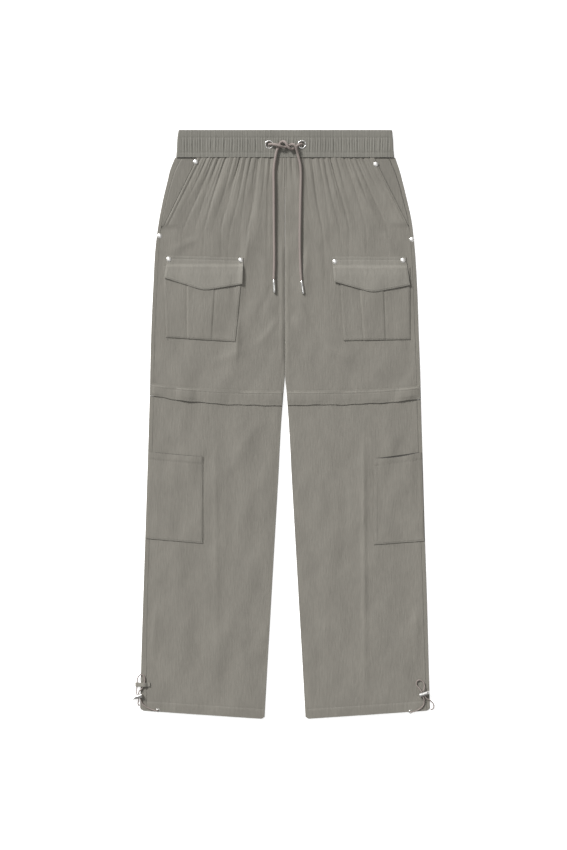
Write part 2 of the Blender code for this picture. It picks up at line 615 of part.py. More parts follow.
def make_flap(side, pocket):
    """The flap: sewn above the pocket's mouth, over it, with a blunt point."""
    corners = THIGH_FLAPS[side]
    c = dict(zip(PATCH_COLUMNS, corners))
    at, low = FLAP_POINTS[side]
    point = (at - c["inner_bottom"]) / (c["outer_bottom"] - c["inner_bottom"])
    inner_half = np.array([0, 0.06, 0.5, 1.0]) * point
    outer_half = 1 - (1 - point) * np.array([0.66, 0.33, 0.06, 0.0])
    across = np.concatenate([inner_half, outer_half])
    distance, y = patch(corners, across, [0.0, 0.5, 1.0])
    bottom = np.where(across <= point,
                      c["bottom_inner_y"] + (low - c["bottom_inner_y"]) * across / point,
                      low + (c["bottom_outer_y"] - low) * (across - point) / (1 - point))
    top = y[0]
    mouth = pocket["top_inner_y"] + (pocket["top_outer_y"] - pocket["top_inner_y"]) * across
    y = np.stack([top, mouth + 4.0, mouth + 1.0, (mouth + bottom) / 2, bottom + 2, bottom])
    line = np.array([0.0, 0.1, 0.2, 0.6, 0.96, 1.0])[:, None]
    left = c["inner_top"] + (c["inner_bottom"] - c["inner_top"]) * line
    right = c["outer_top"] + (c["outer_bottom"] - c["outer_top"]) * line
    distance = left + (right - left) * across
    raise_by = np.array([0.1, 0.1, LAYER + 0.8, LAYER + 1.6, LAYER + 1.6, LAYER + 1.55])[:, None]
    z = front_mid(side, distance, y) + LAYER + raise_by
    surface(f"thigh_flap_{side}", SIDES[side] * distance, y, z, "cloth")


def make_shin_pocket(side):
    """The patch pocket on the outer lower leg, up to the outer fold, its mouth a little open."""
    distance, y = patch(SHIN_POCKETS[side], [0, 0.05, 0.3, 0.55, 0.8, 0.93, 1.0],
                        [0, 0.05, 0.2, 0.45, 0.7, 0.95, 1.0])
    distance = np.minimum(distance, leg("outer", side, y) - FOLD_OUT - 0.1)
    z = front_mid(side, distance, y) + LAYER
    mouth = np.array([1.0, 0.9, 0.45, 0.1, 0, 0, 0])[:, None]
    middle = np.sin(np.pi * np.array([0, 0.05, 0.3, 0.55, 0.8, 0.93, 1.0]))
    surface(f"shin_pocket_{side}", SIDES[side] * distance, y, z + SHIN_MOUTH_LIFT * mouth * middle, "cloth")


def make_waistband():
    """The band: an outer loop with shirring ridges round a plain inner loop, and holes for the eyelets."""
    ys = column(BAND_SECTIONS, BAND_COLUMNS, "y")
    strength = column(BAND_SECTIONS, BAND_COLUMNS, "ridge")
    left = column(BAND_SECTIONS, BAND_COLUMNS, "left")
    right = column(BAND_SECTIONS, BAND_COLUMNS, "right")
    outer_radius = BAND_TOP_Z / 2
    inner_radius = SEAM_GAP / 2
    turn = np.radians(np.linspace(-90, 90, 6))
    count = 2 * RIDGES + 1
    step_no = np.arange(count)
    uneven = 0.25 * np.sin(1.7 * step_no) + 0.2 * np.sin(4.1 * step_no + 1.0)
    share = (step_no + np.where((step_no > 0) & (step_no < count - 1), uneven, 0)) / (count - 1)
    back = np.linspace(0, 1, 9)[1:-1]
    outer_rows, inner_rows = [], []
    for y, low, high, ridge in zip(ys, left, right, strength):
        for rows, radius in ((outer_rows, outer_radius), (inner_rows, inner_radius)):
            start, end = -low + outer_radius, high - outer_radius
            front_x = end + (start - end) * share
            wave = np.where(step_no % 2 == 0, 1.0, -1.0) * (1 + 0.35 * np.sin(2.3 * step_no))
            away = np.min([np.hypot(front_x - ex, y - ey) for ex, ey in EYELETS.values()], 0)
            wave = wave * RIDGE_HEIGHT * ridge * step(away, EYELET_FLANGE + 0.5, EYELET_FLAT + 3)
            wave[0] = wave[-1] = 0
            front_z = outer_radius + radius + (wave if radius == outer_radius else 0 * wave)
            back_x = start + (end - start) * back
            x = np.concatenate([back_x, end + radius * np.cos(turn[:-1]), front_x,
                                start - radius * np.cos(turn[:-1])[::-1]])
            z = np.concatenate([np.full(back.shape, outer_radius - radius),
                                outer_radius + radius * np.sin(turn[:-1]), front_z,
                                outer_radius + radius * np.sin(turn[:-1])[::-1]])
            rows.append(np.stack([x, np.full(x.shape, y), z], -1))
    inner_rows = [inner_rows[-1], inner_rows[0]]
    loops = np.array(outer_rows + inner_rows)
    total, around = loops.shape[:2]
    number = np.arange(total * around).reshape(total, around)
    ring = np.concatenate([number, number[:1]])
    ring = np.concatenate([ring, ring[:, :1]], 1)
    faces = np.stack([ring[:-1, :-1], ring[:-1, 1:], ring[1:, 1:], ring[1:, :-1]], -1).reshape(-1, 4)
    mesh = bpy.data.meshes.new("waistband")
    mesh.from_pydata((loops.reshape(-1, 3) * MM).tolist(), [], faces.tolist())
    outward(mesh)
    band = finished("waistband", mesh, "cloth")
    for side, (x, y) in EYELETS.items():
        bpy.ops.mesh.primitive_cylinder_add(vertices=20, radius=EYELET_CUT * MM, depth=6 * MM)
        cutter = bpy.context.object
        cutter.name = f"cut_eyelet_{side}"
        cutter.location = (x * MM, y * MM, (BAND_WALL + SEAM_GAP / 2 + 3) * MM)
        move_to(cutter, CUTTERS)
        cutter.hide_render = True
        cutter.display_type = "WIRE"
        hole = band.modifiers.new(f"hole_{side}", "BOOLEAN")
        hole.object = cutter
        hole.operation = "DIFFERENCE"


def outward(mesh):
    """Turn a closed mesh's faces outwards."""
    made = bmesh.new()
    made.from_mesh(mesh)
    bmesh.ops.recalc_face_normals(made, faces=made.faces)
    made.to_mesh(mesh)
    made.free()


def round_edges(piece, width):
    """A small bevel, in millimetres."""
    bevel = piece.modifiers.new("edges", "BEVEL")
    bevel.width = width * MM
    bevel.segments = 1
    bevel.limit_method = "ANGLE"


def move_to(piece, collection):
    """Put an object in one collection only."""
    for owner in list(piece.users_collection):
        owner.objects.unlink(piece)
    collection.objects.link(piece)


def adopt(piece, kind, smooth_shaded=True):
    """Give a primitive its material and collection."""
    if smooth_shaded:
        piece.data.shade_smooth()
        piece.data.set_sharp_from_angle(angle=math.radians(40))
    piece.data.materials.clear()
    piece.data.materials.append(material(piece.name, kind))
    move_to(piece, PARTS)


def turned(name, profile, kind, sides, closed):
    """A turned piece: a profile (radius, height) at +X, spun with a Screw modifier.

    The profile runs down its outer side; closed joins its last point to its first.
    """
    mesh = bpy.data.meshes.new(name)
    points = [(r * MM, 0, z * MM) for r, z in profile]
    edges = [(i, i + 1) for i in range(len(points) - 1)]
    if closed:
        edges.append((len(points) - 1, 0))
    mesh.from_pydata(points, edges, [])
    piece = finished(name, mesh, kind)
    spin = piece.modifiers.new("turn", "SCREW")
    spin.steps = spin.render_steps = sides
    spin.use_merge_vertices = True
    spin.merge_threshold = 0.00001
    return piece


def make_eyelets():
    """Eyelets in the band: a barrel through the front wall and a rounded flange on it."""
    flange = BAND_TOP_Z + SEAM_GAP
    low = BAND_WALL + SEAM_GAP + 0.3
    profile = [(EYELET_HOLE, flange + 0.5), (EYELET_HOLE + 0.7, flange + 1.0), (EYELET_FLANGE - 0.6, flange + 0.7),
               (EYELET_FLANGE, flange), (EYELET_BARREL, flange), (EYELET_BARREL, low), (EYELET_HOLE, low)]
    for side, (x, y) in EYELETS.items():
        piece = turned(f"eyelet_{side}", profile, "metal", 20, True)
        piece.location = (x * MM, y * MM, 0)
    small = [(HEM_EYELET_HOLE, 0.5), (2.0, 0.9), (3.3, 0.6), (HEM_EYELET_RADIUS, 0.0), (HEM_EYELET_HOLE, 0.0)]
    seats = {side: seat(*place, HEM_EYELET_RADIUS) for side, place in HEM_EYELETS.items()}
    for side, (x, y) in HEM_EYELETS.items():
        piece = turned(f"hem_eyelet_{side}", small, "metal", 14, True)
        piece.location = (x * MM, y * MM, (seats[side] + SEAM_GAP) * MM)


def seat(x, y, radius):
    """The highest point of the cloth under a round piece, in millimetres."""
    bpy.context.view_layer.update()
    graph = bpy.context.evaluated_depsgraph_get()
    places = [(x, y)]
    for reach in (0.5 * radius, radius):
        for turn in range(0, 360, 30):
            places.append((x + reach * math.cos(math.radians(turn)), y + reach * math.sin(math.radians(turn))))
    heights = []
    for place in places:
        above = Vector((place[0] * MM, place[1] * MM, 0.1))
        hit, where, *_ = bpy.context.scene.ray_cast(graph, above, Vector((0, 0, -1)))
        heights.append(where.z / MM if hit else 0.0)
    return max(heights)


def make_rivets():
    """Domed rivets, each on the cloth that it fastens."""
    dome = [(0, RIVET_HEIGHT), (RIVET_RADIUS * 0.5, RIVET_HEIGHT * 0.88), (RIVET_RADIUS * 0.86, RIVET_HEIGHT * 0.5),
            (RIVET_RADIUS, 0), (0, 0)]
    seats = {name: seat(x, y, RIVET_RADIUS) for name, x, y in RIVETS}
    for name, x, y in RIVETS:
        piece = turned(name, dome, "metal", 12, False)
        piece.location = (x * MM, y * MM, (seats[name] + SEAM_GAP) * MM)


def cord(name, route, width):
    """A cord: a smooth curve through its route, read at its points and half way between spaced ones."""
    route = np.array(route, float)
    gaps = np.linalg.norm(np.diff(route, axis=0), axis=1)
    run = np.concatenate([[0], np.cumsum(gaps)])
    halves = (run[1:] + run[:-1])[(gaps > 1.2 * width) & (gaps < 3 * width)] / 2
    stops = np.sort(np.concatenate([run, halves]))
    points = np.stack([smooth(stops, run, route[:, k]) for k in range(3)], -1)
    count = len(points)
    curve = bpy.data.curves.new(name, "CURVE")
    curve.dimensions = "3D"
    curve.bevel_depth = width / 2 * MM
    curve.bevel_resolution = 2
    curve.use_fill_caps = True
    spline = curve.splines.new("POLY")
    spline.points.add(count - 1)
    for point, place in zip(spline.points, points * MM):
        point.co = (*place, 1)
    piece = bpy.data.objects.new(name, curve)
    curve.materials.append(material(name, "cord"))
    PARTS.objects.link(piece)


def make_drawstring():
    """The drawstring's two free ends, each with its aglet."""
    for side, route in STRING_ROUTES.items():
        cord(f"drawstring_{side}", route, STRING_WIDTH)
        (x0, y0), (x1, y1) = AGLETS[side]
        heading = math.atan2(y1 - y0, x1 - x0)
        half = AGLET_LENGTH / 2
        tube = [(0, half), (AGLET_RADIUS * 0.7, half), (AGLET_RADIUS * 0.85, half - 0.8), (AGLET_RADIUS, 1 - half),
                (AGLET_RADIUS * 0.8, -half), (0, -half)]
        piece = turned(f"aglet_{side}", tube, "metal", 10, False)
        piece.rotation_euler = (0, math.radians(90), heading)
        start = np.array([x0, y0]) + (SEAM_GAP + half) * np.array([math.cos(heading), math.sin(heading)])
        piece.location = (start[0] * MM, start[1] * MM, AGLET_Z * MM)


def make_hem_cords():
    """The hem cords with their locks: a barrel with a cross slot, and its plunger."""
    for side, route in HEM_ROUTES.items():
        cord(f"hem_cord_{side}", route, HEM_CORD_WIDTH)
        lock = LOCKS[side]
        rotation = (0, math.radians(90 - lock["tilt"]), math.radians(lock["turn"]))
        bpy.ops.mesh.primitive_cylinder_add(vertices=16, radius=LOCK_RADIUS * MM, depth=LOCK_LENGTH * MM)
        barrel = bpy.context.object
        barrel.name = f"cord_lock_{side}"
        barrel.location = [v * MM for v in lock["at"]]
        barrel.rotation_euler = rotation
        adopt(barrel, "metal")
        bpy.ops.mesh.primitive_cube_add(size=1)
        slot = bpy.context.object
        slot.name = f"cut_lock_{side}"
        long, high = LOCK_SLOT
        slot.scale = (high * MM, 4 * LOCK_RADIUS * MM, long * MM)
        slot.location = barrel.location
        slot.rotation_euler = rotation
        move_to(slot, CUTTERS)
        slot.hide_render = True
        slot.display_type = "WIRE"
        cut = barrel.modifiers.new("slot", "BOOLEAN")
        cut.object = slot
        cut.operation = "DIFFERENCE"
        bpy.ops.mesh.primitive_cylinder_add(vertices=14, radius=PLUNGER_RADIUS * MM, depth=PLUNGER_LENGTH * MM)
        plunger = bpy.context.object
        plunger.name = f"lock_plunger_{side}"
        reach = (LOCK_LENGTH + PLUNGER_LENGTH) / 2 + SEAM_GAP
        turn, tilt = math.radians(lock["turn"]), math.radians(lock["tilt"])
        axis = np.array([math.cos(turn) * math.cos(tilt), math.sin(turn) * math.cos(tilt), math.sin(tilt)])
        plunger.location = (np.array(lock["at"]) - SIDES[side] * -1 * reach * axis) * MM
        plunger.rotation_euler = rotation
        round_edges(plunger, 0.6)
        adopt(plunger, "metal")


def make_tab():
    """The cloth loop at the left hem: from the leg over both strands, round the outer one and back."""
    path = [(238.0, 3.9), (243.0, 4.2), (245.6, 6.0), (248.0, 6.8), (252.0, 6.8), (257.0, 6.0), (261.0, 5.3),
            (263.2, 4.4), (264.0, 3.1), (263.2, 1.8), (261.6, 1.1), (259.8, 0.9), (258.0, 0.9)]
    path = np.array(path)
    y = np.array([-462.8, -455.8])[:, None] * np.ones(len(path))
    x = np.broadcast_to(-path[:, 0], y.shape)
    surface("hem_tab_left", x, y, np.broadcast_to(path[:, 1], y.shape), "cloth", wall=1.0)


for old in list(bpy.data.objects):
    bpy.data.objects.remove(old)
PARTS = bpy.data.collections.new("zip_off_trousers")
CUTTERS = bpy.data.collections.new("cutters")
bpy.context.scene.collection.children.link(PARTS)
bpy.context.scene.collection.children.link(CUTTERS)

make_waistband()
for leg_side in SIDES:
    make_uppers(leg_side)
    make_facing(leg_side)
    make_knee(leg_side)
    make_lowers(leg_side)
    make_thigh(leg_side)
    make_shin_pocket(leg_side)
make_eyelets()
make_rivets()
make_drawstring()
make_hem_cords()
make_tab()
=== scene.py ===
"""Looks of the zip-off trousers: cloth, sewing, cords and metal on the part's own frame.

Tables and sizes are in millimetres, as in the part's source, and become metres when a mesh is made. A
place on a leg is given as a distance from the middle line and a y. "left" is the side at -X.
"""
import json
import math

import bmesh
import bpy
import numpy as np
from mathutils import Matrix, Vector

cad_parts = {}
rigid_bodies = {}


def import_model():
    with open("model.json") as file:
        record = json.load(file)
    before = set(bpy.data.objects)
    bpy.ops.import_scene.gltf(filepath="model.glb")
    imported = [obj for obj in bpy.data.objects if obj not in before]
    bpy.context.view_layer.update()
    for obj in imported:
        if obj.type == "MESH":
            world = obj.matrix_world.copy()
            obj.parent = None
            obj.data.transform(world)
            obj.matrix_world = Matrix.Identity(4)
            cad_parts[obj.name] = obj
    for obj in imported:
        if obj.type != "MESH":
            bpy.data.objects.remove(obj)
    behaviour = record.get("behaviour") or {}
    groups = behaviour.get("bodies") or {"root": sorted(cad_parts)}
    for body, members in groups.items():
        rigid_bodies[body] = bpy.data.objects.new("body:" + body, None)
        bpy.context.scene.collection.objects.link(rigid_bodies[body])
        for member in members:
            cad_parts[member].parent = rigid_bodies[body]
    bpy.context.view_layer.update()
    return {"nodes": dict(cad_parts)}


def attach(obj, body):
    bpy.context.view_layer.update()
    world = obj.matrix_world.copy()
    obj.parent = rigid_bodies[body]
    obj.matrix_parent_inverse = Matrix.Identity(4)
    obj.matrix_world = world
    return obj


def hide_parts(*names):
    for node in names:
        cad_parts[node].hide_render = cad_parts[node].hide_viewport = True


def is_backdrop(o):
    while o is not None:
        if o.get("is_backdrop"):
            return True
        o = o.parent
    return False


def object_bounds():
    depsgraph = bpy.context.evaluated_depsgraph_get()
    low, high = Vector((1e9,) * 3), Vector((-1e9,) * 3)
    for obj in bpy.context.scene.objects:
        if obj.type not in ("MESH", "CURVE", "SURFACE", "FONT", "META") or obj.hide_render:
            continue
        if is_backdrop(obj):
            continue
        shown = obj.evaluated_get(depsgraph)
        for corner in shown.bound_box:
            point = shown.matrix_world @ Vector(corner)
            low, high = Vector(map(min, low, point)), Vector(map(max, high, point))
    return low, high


MM = 0.001
SIDES = {"left": -1, "right": 1}

# Cloth walls of the solids, and the thinner shell that shows.
CLOTH = 1.2
SHELL = 1.0
SEAM_GAP = 0.3
BACK_MID = CLOTH / 2
FRONT_MID = BACK_MID + CLOTH + SEAM_GAP
FOLD_MID = (BACK_MID + FRONT_MID) / 2
FOLD_RADIUS = (FRONT_MID - BACK_MID) / 2
FOLD_OUT = FOLD_RADIUS + CLOTH / 2
LAYER = CLOTH + SEAM_GAP

# Lengths along the garment.
WAIST_TOP = 520.0
WAIST_SEAM = 471.4
LEG_TOP = WAIST_SEAM - SEAM_GAP
CROTCH = 176.0
HEM_INNER = -520.0
HEM_OUTER = -505.0
HEM_LEVEL = -512.0
HEM_CORNER = 7.0

# Outline of a leg: half widths at each height, and the width of the back panel's lip on the front.
LEG_COLUMNS = ("y", "outer_left", "outer_right", "inner", "lip_left", "lip_right")
LEG_SECTIONS = (
    (471.4, 194.3, 194.8, 0.15, 12.0, 11.0),
    (449.4, 203.1, 202.2, 0.15, 9.0, 9.0),
    (431.7, 207.4, 207.0, 0.15, 7.5, 7.5),
    (396.4, 215.8, 215.6, 0.15, 6.5, 6.5),
    (361.1, 222.6, 223.4, 0.15, 6.0, 6.0),
    (325.8, 227.6, 227.8, 0.15, 6.5, 6.0),
    (237.5, 233.2, 233.8, 0.15, 7.0, 7.0),
    (166.9, 236.4, 236.2, 0.15, 7.0, 7.0),
    (85.6, 238.4, 239.2, 0.15, 7.0, 7.0),
    (60.9, 238.9, 239.8, 2.2, 7.0, 7.0),
    (7.9, 240.4, 241.2, 6.3, 7.5, 7.0),
    (-98.0, 243.7, 244.4, 12.0, 7.5, 7.0),
    (-203.9, 247.2, 247.5, 18.1, 7.5, 7.0),
    (-309.9, 250.8, 251.0, 24.2, 8.0, 7.0),
    (-415.8, 254.2, 253.8, 30.4, 10.0, 6.5),
    (-520.0, 256.6, 256.8, 36.2, 13.0, 5.5),
)

# The cover over the zip: its seam and its free edge, at the inner and the outer side of the leg.
KNEE_COLUMNS = ("side", "seam_inner", "seam_outer", "edge_inner", "edge_outer", "bow")
KNEE_LINES = (
    ("left", 58.3, 71.5, 33.7, 51.6, 2.5),
    ("right", 58.3, 67.3, 34.5, 45.5, 3.0),
)
KNEE_Y = 57.0
ZIP_INSET = 3.0
ZIP_HEIGHT = 10.0
ZIP_LIFT = 1.5
COVER_MID = FRONT_MID + ZIP_LIFT + LAYER
SLIDER_AT = {"left": 176.0, "right": 213.0}
SLIDER_LONG = 12.0
SLIDER_BULGE = 2.2

# The slanted hand pockets.
SLANT_COLUMNS = ("side", "bottom_y", "slope")
SLANTS = (("left", 344.3, 0.493), ("right", 346.5, 0.501))
SLANT_LIFT = 1.7
SLANT_RISE = 10.0
FACING_UNDERLAP = 10.0

# Gathers under the waistband: place across the panel, depth and length.
GATHER_COLUMNS = ("place", "depth", "length")
GATHERS = (
    (0.075, 0.55, 50.0),
    (0.15, 0.90, 95.0),
    (0.225, 0.60, 60.0),
    (0.30, 1.00, 110.0),
    (0.37, 0.65, 70.0),
    (0.44, 0.80, 85.0),
    (0.51, 0.95, 100.0),
    (0.585, 0.60, 60.0),
    (0.66, 0.90, 95.0),
    (0.735, 0.70, 70.0),
    (0.81, 0.80, 80.0),
    (0.89, 0.55, 55.0),
)
GATHER_WIDTH = 0.021
WAIST_RAISE = 1.2
FULLNESS = 0.9

# The largest folds of the solids: two ends (x, y), height and half width.
FOLD_COLUMNS = ("x0", "y0", "x1", "y1", "height", "width")
FOLDS = (
    (-62.0, 345.0, -82.0, 190.0, 0.8, 9.0),
    (-82.0, 190.0, -88.5, 104.0, 0.6, 8.0),
    (113.0, 458.0, 175.0, 336.0, 0.8, 12.0),
    (36.0, 330.0, 30.0, 140.0, 0.6, 12.0),
    (138.0, 34.0, 141.0, -518.0, 0.7, 7.0),
    (-124.0, 34.0, -118.0, -518.0, 0.45, 9.0),
    (-60.0, 20.0, -95.0, -300.0, 0.45, 14.0),
    (75.0, 20.0, 92.0, -330.0, 0.45, 14.0),
)

# Creases placed on top of the folds: two ends, height (below 0 a trough), half width and bow.
CREASE_COLUMNS = ("x0", "y0", "x1", "y1", "height", "width", "bow")
CREASES = (
    (-62.7, 343.0, -81.7, 190.0, 0.8, 3.6, 2.0),
    (-81.7, 198.0, -88.5, 100.0, 0.7, 3.8, -1.0),
    (-73.0, 352.0, -97.0, 175.0, -0.6, 7.0, 3.0),
    (-38.0, 455.0, -52.0, 300.0, 0.8, 6.0, 3.0),
    (-22.0, 452.0, -30.0, 335.0, -0.6, 5.0, -2.0),
    (-84.0, 452.0, -128.0, 310.0, -0.7, 9.0, 4.0),
    (-104.0, 450.0, -166.0, 318.0, 0.9, 11.0, -5.0),
    (-132.0, 440.0, -188.0, 345.0, -0.5, 8.0, 3.0),
    (-150.0, 330.0, -206.0, 300.0, 0.6, 7.0, 2.0),
    (-36.0, 300.0, -27.0, 190.0, 0.7, 8.0, 3.0),
    (-14.0, 262.0, -58.0, 150.0, -0.6, 7.0, 4.0),
    (-6.0, 196.0, -66.0, 122.0, 0.7, 7.0, -3.0),
    (-222.0, 320.0, -226.0, 120.0, 0.4, 5.0, 2.0),
    (-58.0, 136.0, -150.0, 92.0, 0.5, 9.0, 4.0),
    (-20.0, 150.0, -34.0, 84.0, -0.5, 8.0, 2.0),
    (113.0, 458.0, 174.8, 336.0, 1.0, 5.0, 2.0),
    (172.0, 342.0, 194.0, 299.0, 0.7, 5.0, -1.0),
    (93.0, 446.0, 152.0, 322.0, -0.7, 9.0, 4.0),
    (60.0, 452.0, 98.0, 312.0, 0.8, 8.0, -4.0),
    (78.0, 440.0, 122.0, 326.0, 0.5, 6.0, 3.0),
    (26.0, 455.0, 40.0, 318.0, 0.8, 6.0, 3.0),
    (140.0, 430.0, 186.0, 356.0, -0.5, 7.0, 2.0),
    (42.0, 330.0, 33.0, 176.0, 0.8, 8.0, 3.0),
    (60.0, 338.0, 86.0, 196.0, -0.6, 8.0, -3.0),
    (8.0, 200.0, 70.0, 128.0, 0.7, 7.0, 3.0),
    (16.0, 244.0, 60.0, 158.0, -0.6, 6.0, -3.0),
    (226.0, 312.0, 229.0, 118.0, 0.4, 5.0, 2.0),
    (66.0, 134.0, 156.0, 94.0, 0.5, 9.0, -4.0),
    (22.0, 142.0, 40.0, 82.0, -0.5, 8.0, -2.0),
    (139.0, 30.0, 141.5, -500.0, 0.7, 3.4, 0.5),
    (-123.0, 30.0, -118.5, -500.0, 0.35, 4.5, 1.0),
    (-36.0, 16.0, -104.0, -96.0, 0.6, 11.0, 5.0),
    (-206.0, 12.0, -150.0, -128.0, 0.5, 12.0, -5.0),
    (-54.0, -60.0, -68.0, -310.0, 0.5, 12.0, 5.0),
    (-92.0, -120.0, -106.0, -330.0, -0.5, 12.0, -4.0),
    (-194.0, -232.0, -168.0, -430.0, 0.5, 13.0, -5.0),
    (-74.0, -320.0, -60.0, -488.0, 0.5, 11.0, 4.0),
    (-226.0, -300.0, -236.0, -486.0, 0.5, 7.0, 2.0),
    (-150.0, -380.0, -144.0, -500.0, -0.4, 9.0, 3.0),
    (34.0, 16.0, 88.0, -84.0, 0.6, 11.0, -5.0),
    (216.0, 8.0, 168.0, -110.0, 0.5, 12.0, 5.0),
    (60.0, -70.0, 76.0, -318.0, 0.5, 13.0, -4.0),
    (106.0, -60.0, 112.0, -300.0, -0.5, 10.0, 3.0),
    (196.0, -236.0, 172.0, -440.0, 0.5, 12.0, 4.0),
    (76.0, -330.0, 62.0, -490.0, 0.5, 10.0, -3.0),
    (228.0, -290.0, 236.0, -480.0, 0.5, 7.0, -2.0),
)

# Slow unevenness: length of the wave, its heading in degrees, phase and height.
WAVES = (
    (92.0, 12.0, 0.4, 0.22),
    (61.0, -24.0, 2.1, 0.16),
    (137.0, 68.0, 1.1, 0.25),
    (43.0, 5.0, 0.9, 0.10),
    (33.0, -9.0, 4.4, 0.07),
    (74.0, 151.0, 3.0, 0.14),
)
SMALL_GATHERS = 26
CREASE_SCALE = 1.5
WAVE_SCALE = 1.6

# Patch pockets and flaps: distances from the middle line and heights of their corners.
PATCH_COLUMNS = ("inner_top", "outer_top", "inner_bottom", "outer_bottom",
                 "top_inner_y", "top_outer_y", "bottom_inner_y", "bottom_outer_y")
THIGH_POCKETS = {
    "left": (75.0, 214.9, 87.6, 210.1, 279.0, 279.5, 146.2, 154.0),
    "right": (96.1, 220.5, 103.6, 220.5, 277.0, 277.0, 148.1, 150.1),
}
THIGH_FLAPS = {
    "left": (73.3, 207.3, 75.0, 212.9, 294.5, 298.4, 247.7, 258.7),
    "right": (83.0, 213.0, 86.5, 220.5, 296.5, 296.0, 252.0, 245.8),
}
FLAP_POINTS = {"left": (143.0, 236.3), "right": (154.5, 232.7)}
SHIN_POCKETS = {
    "left": (145.3, 240.6, 145.3, 245.4, -56.7, -48.2, -209.8, -201.1),
    "right": (157.5, 241.3, 157.5, 245.8, -60.0, -48.5, -211.9, -205.7),
}
# A box pleat's two lines, each as a distance at a high and at a low y.
PLEATS = {
    "left": ((236.0, 125.0, 171.8), (148.0, 130.5, 171.8)),
    "right": ((231.0, 134.0, 173.6), (158.0, 139.5, 176.2)),
}
PLEAT_RAISE = 1.0
POCKET_EASE = 0.25
SHIN_MOUTH_LIFT = {"left": 0.8, "right": 2.4}
SHIN_SAG = {"left": 0.6, "right": 3.0}

# The waistband.
BAND_WALL = 2.2
BAND_SHELL = 2.0
BAND_TOP_Z = 2 * BAND_WALL + SEAM_GAP
BAND_COLUMNS = ("y", "left", "right", "ridge")
BAND_SECTIONS = (
    (471.4, 192.5, 193.0, 0.45),
    (479.5, 191.8, 192.3, 0.45),
    (484.0, 191.4, 191.8, 1.0),
    (503.0, 190.6, 190.9, 1.0),
    (507.5, 190.2, 190.4, 0.4),
    (517.5, 188.6, 189.6, 0.35),
    (520.0, 187.2, 188.6, 0.1),
)
RIDGE_HEIGHT = 0.30

# Waves of the shirring: pitch, phase and share.
RIDGES = ((4.6, 0.0, 1.0), (6.9, 1.3, 0.6), (10.7, 4.0, 0.45), (3.3, 2.2, 0.35))
BAND_STITCHES = (480.3, 506.8)

# Eyelets in the band.
EYELETS = {"left": (-27.9, 494.2), "right": (30.0, 494.4)}
EYELET_HOLE = 5.3
EYELET_BARREL = 5.9
EYELET_CUT = 6.4
EYELET_FLANGE = 7.75
EYELET_FLAT = 11.0

# Round rivets: name, place, and whether a flap lies under it.
RIVET_RADIUS = 4.3
RIVET_HEIGHT = 1.9
RIVETS = (
    ("slant_rivet_top_left", -157.7, 463.5),
    ("slant_rivet_low_left", -221.6, 333.0),
    ("slant_rivet_top_right", 160.5, 459.3),
    ("slant_rivet_low_right", 224.2, 326.8),
    ("flap_rivet_outer_left", -205.0, 291.7),
    ("flap_rivet_inner_left", -78.2, 290.0),
    ("flap_rivet_inner_right", 88.0, 287.4),
    ("flap_rivet_outer_right", 208.3, 289.8),
)

# Drawstring: two free ends that cross in half a knot between the eyelets.
STRING_WIDTH = 4.8
STRING_ROUTES = {
    "left": (
        (-27.9, 494.3, 3.6), (-27.8, 494.3, 5.0), (-27.2, 494.3, 6.5), (-25.2, 494.2, 8.4),
        (-20.6, 493.6, 11.2), (-14.6, 492.2, 13.4), (-9.0, 490.4, 13.6), (-3.0, 488.8, 10.6), (2.6, 489.2, 8.2),
        (7.6, 491.6, 8.8), (11.8, 493.6, 11.6), (15.6, 492.8, 13.8), (18.6, 489.6, 14.0),
        (20.6, 484.4, 12.2), (22.2, 478.4, 9.6), (24.2, 470.0, 8.2), (26.6, 460.0, 7.7),
        (27.9, 448.0, 7.4), (28.0, 430.0, 7.2), (27.3, 400.0, 6.9), (26.6, 360.0, 6.7),
        (26.2, 320.0, 6.6), (26.8, 290.0, 6.6), (27.9, 266.0, 6.6), (28.9, 253.5, 6.6),
    ),
    "right": (
        (30.0, 494.4, 3.6), (29.9, 494.4, 5.0), (29.3, 494.4, 6.5), (27.4, 494.1, 8.2), (24.0, 492.7, 9.2),
        (19.6, 490.0, 8.4), (15.4, 486.8, 8.4), (11.0, 485.0, 10.4), (7.4, 486.8, 13.0),
        (4.4, 490.8, 14.0), (1.6, 495.4, 13.8), (-2.4, 498.6, 11.8), (-6.8, 497.6, 9.2),
        (-10.0, 493.4, 8.1), (-12.0, 488.4, 8.1), (-14.2, 483.0, 8.2), (-15.8, 477.0, 8.2),
        (-17.0, 470.0, 8.2), (-18.6, 460.0, 7.7), (-19.7, 448.0, 7.3), (-19.6, 420.0, 7.0),
        (-19.4, 380.0, 6.8), (-19.2, 340.0, 6.7), (-18.9, 300.0, 6.6), (-19.3, 270.0, 6.6),
        (-19.8, 255.5, 6.6),
    ),
}
AGLET_RADIUS = 2.5
AGLET_LENGTH = 23.0
AGLETS = {"left": ((28.9, 253.2), (32.0, 231.4)), "right": ((-19.8, 255.2), (-18.9, 232.3))}
AGLET_Z = 6.6

